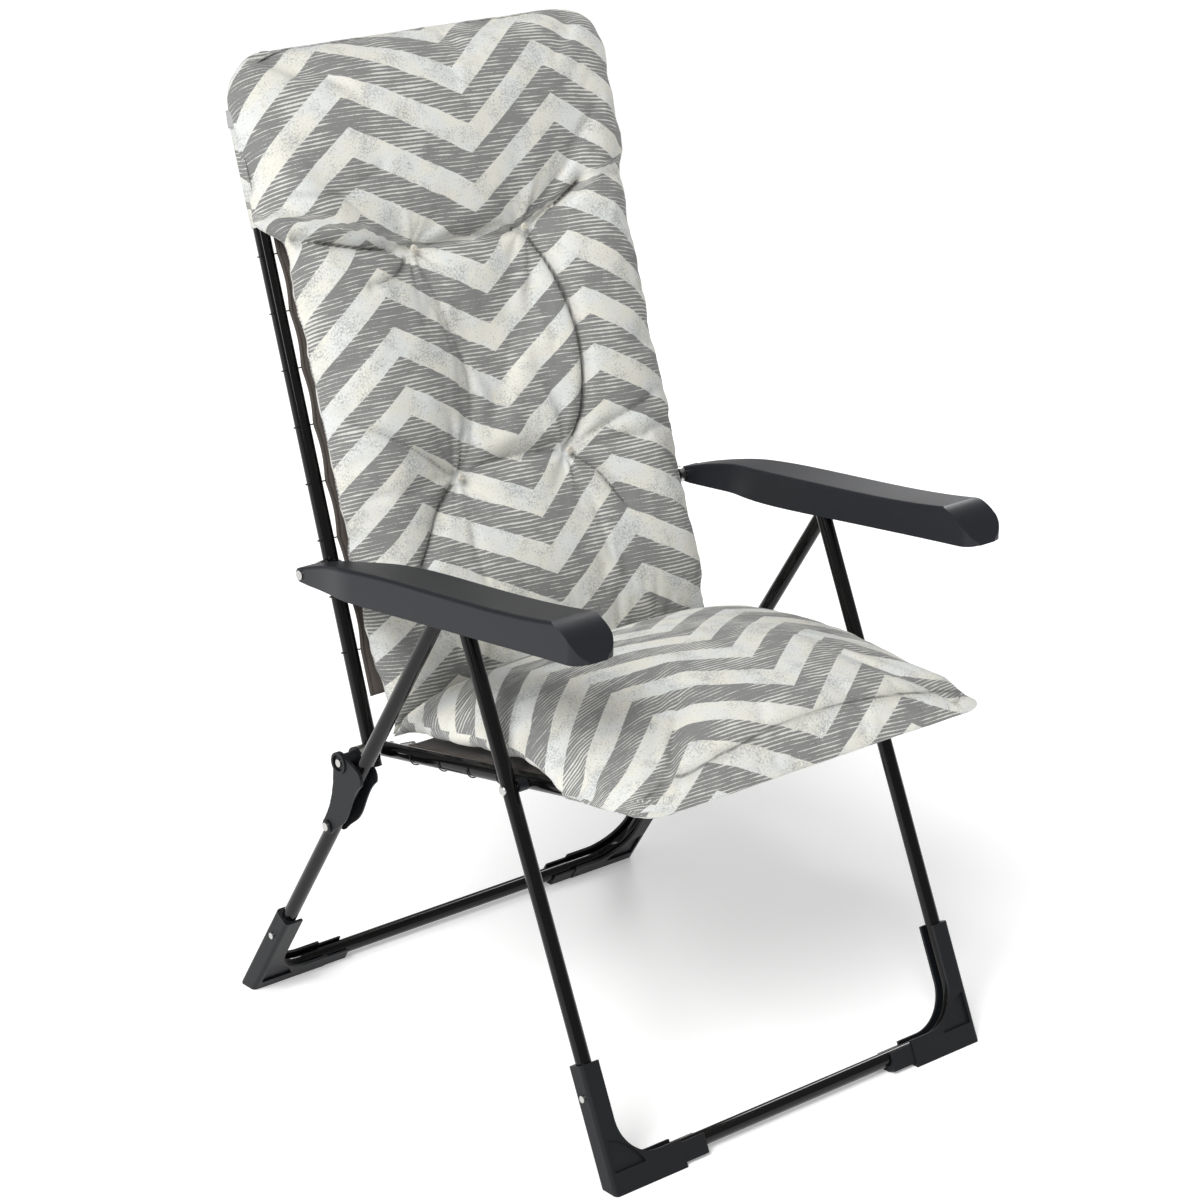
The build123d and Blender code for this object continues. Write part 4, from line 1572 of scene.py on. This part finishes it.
    def side_of(self, place: Vector) -> Vector:
        """Outward direction of the pocket's outline at a place on it.

        Args:
            place: place on the pocket, across, along and up.

        Returns:
            The direction.
        """
        corner_y = self.end - self.corner
        corner_x = self.half_width - self.corner
        if place.y < corner_y:
            return Vector((math.copysign(1, place.x), 0, 0))
        if abs(place.x) < corner_x:
            return Vector((0, 1, 0))
        away = Vector((place.x - math.copysign(corner_x, place.x), place.y - corner_y, 0))
        return away.normalized()


# ------------------------------------------------------------------ slings


@dataclass
class Sling:
    """Taupe cloth panel stretched inside a frame, with a rolled hem and wire hooks."""

    name: str
    panel: Panel
    body: str
    node: str
    hook_node: str
    start: float
    far: float
    edge: float
    tube_x: float
    corner: float
    hooks: tuple[float, float, int]
    height: float = 0.004
    scallop: float = 0.0035
    hem_radius: float = 0.0022
    thickness: float = 0.0014
    hook_radius: float = 0.0103
    hook_wire: float = 0.0008

    def hook_places(self) -> Array:
        """Reaches of the hooks."""
        first, last, count = self.hooks
        return np.linspace(first, last, count)

    def half_width(self, reach: float) -> float:
        """Half width of the panel at a reach, drawn in between the hooks.

        Args:
            reach: distance from the hinge.

        Returns:
            The half width.
        """
        into = min(max(reach - (self.far - self.corner), 0), self.corner)
        width = self.edge - (self.corner - math.sqrt(max(self.corner**2 - into**2, 0)))
        places = self.hook_places()
        if places[0] < reach < places[-1]:
            pitch = places[1] - places[0]
            phase = (reach - places[0]) / pitch
            width -= self.scallop * abs(math.sin(math.pi * phase))
        return width

    def build(self, finishes: Finishes) -> None:
        """Make the panel, its hem and its hooks.

        Args:
            finishes: the chair's finishes.
        """
        shape = bmesh.new()
        layer = shape.loops.layers.uv.new("cloth")
        bmesh.ops.create_grid(shape, x_segments=48, y_segments=110, size=0.5)
        hem: dict[int, list[Vector]] = {-1: [], 1: []}
        for vert in shape.verts:
            share = vert.co.y + 0.5
            reach = self.start + (self.far - self.start) * share
            vert.co = Vector((vert.co.x * 2 * self.half_width(reach), reach, self.height))
        for face in shape.faces:
            for loop in face.loops:
                loop[layer].uv = loop.vert.co.xy
        for vert in shape.verts:
            vert.co = self.panel.point(*vert.co)
        for side in SIDES:
            for reach in np.linspace(self.start, self.far, 111):
                hem[side].append(self.panel.point(side * self.half_width(reach), reach, self.height))
        panel = new_piece(self.name, shape, finishes.taupe)
        wall = panel.modifiers.new("thickness", "SOLIDIFY")
        wall.thickness = self.thickness
        wall.offset = 0
        bake_modifiers(panel)
        edge = bmesh.new()
        layer = edge.loops.layers.uv.new("cloth")
        wire_shape(edge, hem[-1] + hem[1][::-1], self.hem_radius, 10)
        for face in edge.faces:
            for loop in face.loops:
                loop[layer].uv = (loop.vert.co.x, loop.vert.co.z)
        rolled = new_piece(f"{self.name}_hem", edge, finishes.taupe)
        self.far - self.start
        hooks = self.make_hooks(finishes)
        for piece in (panel, rolled, hooks):
            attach(piece, self.body)
        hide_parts(self.node)
        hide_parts(self.hook_node)
        LOG.info("%s: %d faces", self.name, len(panel.data.polygons))

    def make_hooks(self, finishes: Finishes) -> Piece:
        """Wire hooks from the hem round the side tubes.

        Args:
            finishes: the chair's finishes.

        Returns:
            The hooks.
        """
        shape = bmesh.new()
        for side in SIDES:
            for reach in self.hook_places():
                path = []
                for angle in np.linspace(math.radians(-35), math.radians(200), 18):
                    out = self.hook_radius * math.cos(angle)
                    up = -self.hook_radius * math.sin(angle)
                    path.append(self.panel.point(side * (self.tube_x - out), reach, up))
                hem = self.panel.point(side * (self.edge + 0.0006), reach, self.height - 0.001)
                turn = self.panel.point(side * (self.edge - 0.0026), reach, self.height - 0.0036)
                path = [turn, hem, *path]
                wire_shape(shape, path, self.hook_wire, 8)
        return new_piece(f"{self.name}_hooks", shape, finishes.wire)


@dataclass
class CornerSprings:
    """Close-wound springs that draw the seat sling's rear corners to the seat tube's ends."""

    x: float = 0.2165
    near: tuple[float, float] = (0.028, 0.004)
    far: tuple[float, float] = (0.002, -0.002)
    radius: float = 0.0030
    wire: float = 0.00055
    turns: int = 16

    def build(self, finishes: Finishes) -> None:
        """Coil each spring.

        Args:
            finishes: the chair's finishes.
        """
        shape = bmesh.new()
        for side in SIDES:
            start = SEAT.point(side * self.x, *self.near)
            end = SEAT.point(side * self.x, *self.far)
            heading = (end - start).normalized()
            across = Vector((1, 0, 0))
            over = heading.cross(across)
            path = []
            for step in range(self.turns * 10 + 1):
                share = step / (self.turns * 10)
                angle = share * self.turns * TURN
                path.append(
                    start.lerp(end, share)
                    + across * self.radius * math.cos(angle)
                    + over * self.radius * math.sin(angle)
                )
            wire_shape(shape, path, self.wire, 5)
        piece = new_piece("corner_coils", shape, finishes.steel)
        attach(piece, "seat")
        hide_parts("corner_springs")
        LOG.info("corner coils: %d faces", len(piece.data.polygons))


# ------------------------------------------------------------------ frames and fittings


@dataclass
class Metalwork:
    """Tubes, fittings and mouldings that keep the solid's own shape and take a finish."""

    tubes: tuple[str, ...] = ("front_leg_frame", "rear_leg_frame", "seat_frame", "back_frame")
    mouldings: tuple[str, ...] = ("front_foot", "rear_foot", "link_", "armrest_rack")
    shells: tuple[str, ...] = ("armrest_left", "armrest_right")
    dark: tuple[str, ...] = ("plugs", "washers", "spacers")
    bright: tuple[str, ...] = ("rivets", "pins", "bushes", "screws", "springs", "hooks")

    def finish_of(self, name: str, finishes: Finishes) -> Finish:
        """The finish that a named solid takes.

        Args:
            name: the solid's name.
            finishes: the chair's finishes.

        Returns:
            Its material.
        """
        if name in self.tubes:
            return finishes.enamel
        if name in self.shells:
            return finishes.plastic
        if any(word in name for word in self.bright):
            return finishes.steel
        if any(word in name for word in self.dark):
            return finishes.dark_plastic
        if any(name.startswith(word) for word in self.mouldings):
            return finishes.dark_plastic
        return finishes.taupe if "sling" in name else finishes.printed

    def build(self, finishes: Finishes) -> None:
        """Dress every solid of the chair.

        Args:
            finishes: the chair's finishes.
        """
        for name, node in frame["nodes"].items():
            dress(node, self.finish_of(name, finishes))
            LOG.info("%s: %s", name, node.data.materials[0].name)


# ------------------------------------------------------------------ studio


@dataclass
class Studio:
    """Camera, pale floor and soft light."""

    eye: Triple = (-2.3529, -2.764567, 1.8705)
    right: Triple = (0.76323, -0.64610, 0.00466)
    up: Triple = (0.22184, 0.26882, 0.93729)
    back: Triple = (-0.60684, -0.71434, 0.34851)
    lens: float = 36.0 * 3347.8 / 1200
    room_light: float = 0.30
    floor_half_width: float = 14

    def camera(self) -> None:
        """Set the camera."""
        data = bpy.data.cameras.new("camera")
        data.lens = self.lens
        data.sensor_width = 36
        data.clip_end = 60
        camera = bpy.data.objects.new("camera", data)
        bpy.context.scene.collection.objects.link(camera)
        turn = Matrix((self.right, self.up, self.back)).transposed().to_4x4()
        camera.matrix_world = Matrix.Translation(self.eye) @ turn
        bpy.context.scene.camera = camera

    def floor(self) -> None:
        """Lay a wide pale floor."""
        shader = Shader("studio_floor")
        cloud = shader.noise(shader.place((1, 1, 1)), 1.3, 2)
        finish = shader.finish(
            Base_Color=shader.mix(cloud * 0.3, (0.93, 0.93, 0.93), (0.90, 0.90, 0.90)),
            Roughness=0.9,
            Emission_Color=(1, 1, 1, 1),
            Emission_Strength=0.24,
        )
        shape = bmesh.new()
        bmesh.ops.create_grid(shape, x_segments=4, y_segments=4, size=self.floor_half_width)
        floor = new_piece("studio_floor", shape, finish)

    def aim(self, lamp: Piece, place: Triple) -> None:
        """Hang a lamp at a place, turned to the chair.

        Args:
            lamp: the lamp.
            place: where it hangs.
        """
        bpy.context.scene.collection.objects.link(lamp)
        away = Vector((0, 0, 0.5)) - Vector(place)
        turn = away.to_track_quat("-Z", "Y").to_matrix().to_4x4()
        lamp.matrix_world = Matrix.Translation(place) @ turn

    def sun(self, place: Triple, spread: float, power: float) -> None:
        """Even light from a wide patch of sky; the spread is in degrees.

        Args:
            place: direction it comes from.
            spread: width of the patch in degrees.
            power: strength.
        """
        data = bpy.data.lights.new("sky_patch", "SUN")
        data.angle = math.radians(spread)
        data.energy = power
        self.aim(bpy.data.objects.new("sky_patch", data), place)

    def light(
        self, name: str, place: Triple, size: tuple[float, float], power: float
    ) -> None:
        """Long narrow light that draws a highlight down the tubes.

        Args:
            name: the lamp's name.
            place: where it hangs.
            size: width and length.
            power: watts.
        """
        data = bpy.data.lights.new(name, "AREA")
        data.shape = "RECTANGLE"
        data.size, data.size_y = size
        data.energy = power
        self.aim(bpy.data.objects.new(name, data), place)

    def build(self) -> None:
        """Set the camera, the floor and the lights."""
        self.camera()
        self.floor()
        scene = bpy.context.scene
        scene.view_settings.view_transform = "Standard"
        world = bpy.data.worlds.new("studio")
        world.use_nodes = True
        backdrop = world.node_tree.nodes["Background"].inputs
        backdrop["Color"].default_value = (1, 1, 1, 1)
        backdrop["Strength"].default_value = self.room_light
        scene.world = world
        self.sun(place=(-2.6, -1.3, 3.6), spread=32, power=2.5)
        self.light(name="strip", place=(-3.0, -1.6, 2.3), size=(0.35, 2.2), power=26)
        self.light(name="rim", place=(2.4, 1.6, 2.2), size=(0.5, 1.8), power=26)


def main() -> None:
    """Build the chair's looks around its solids."""
    logging.basicConfig(level=logging.INFO, format="%(name)s: %(message)s")
    Studio().build()
    finishes = Finishes()
    Metalwork().build(finishes)
    Pads().build(finishes)
    Sling(
        name="seat_sling_cloth",
        panel=SEAT,
        body="seat",
        node="seat_sling",
        hook_node="seat_hooks",
        start=0.030,
        far=0.4405,
        edge=0.2245,
        tube_x=0.2385,
        corner=0.046,
        hooks=(0.062, 0.222, 4),
    ).build(finishes)
    Sling(
        name="back_sling_cloth",
        panel=BACK,
        body="back",
        node="back_sling",
        hook_node="back_hooks",
        start=0.064,
        far=0.774,
        edge=0.2435,
        tube_x=0.2575,
        corner=0.061,
        hooks=(0.120, 0.580, 8),
    ).build(finishes)
    CornerSprings().build(finishes)


if __name__ == "__main__":
    main()
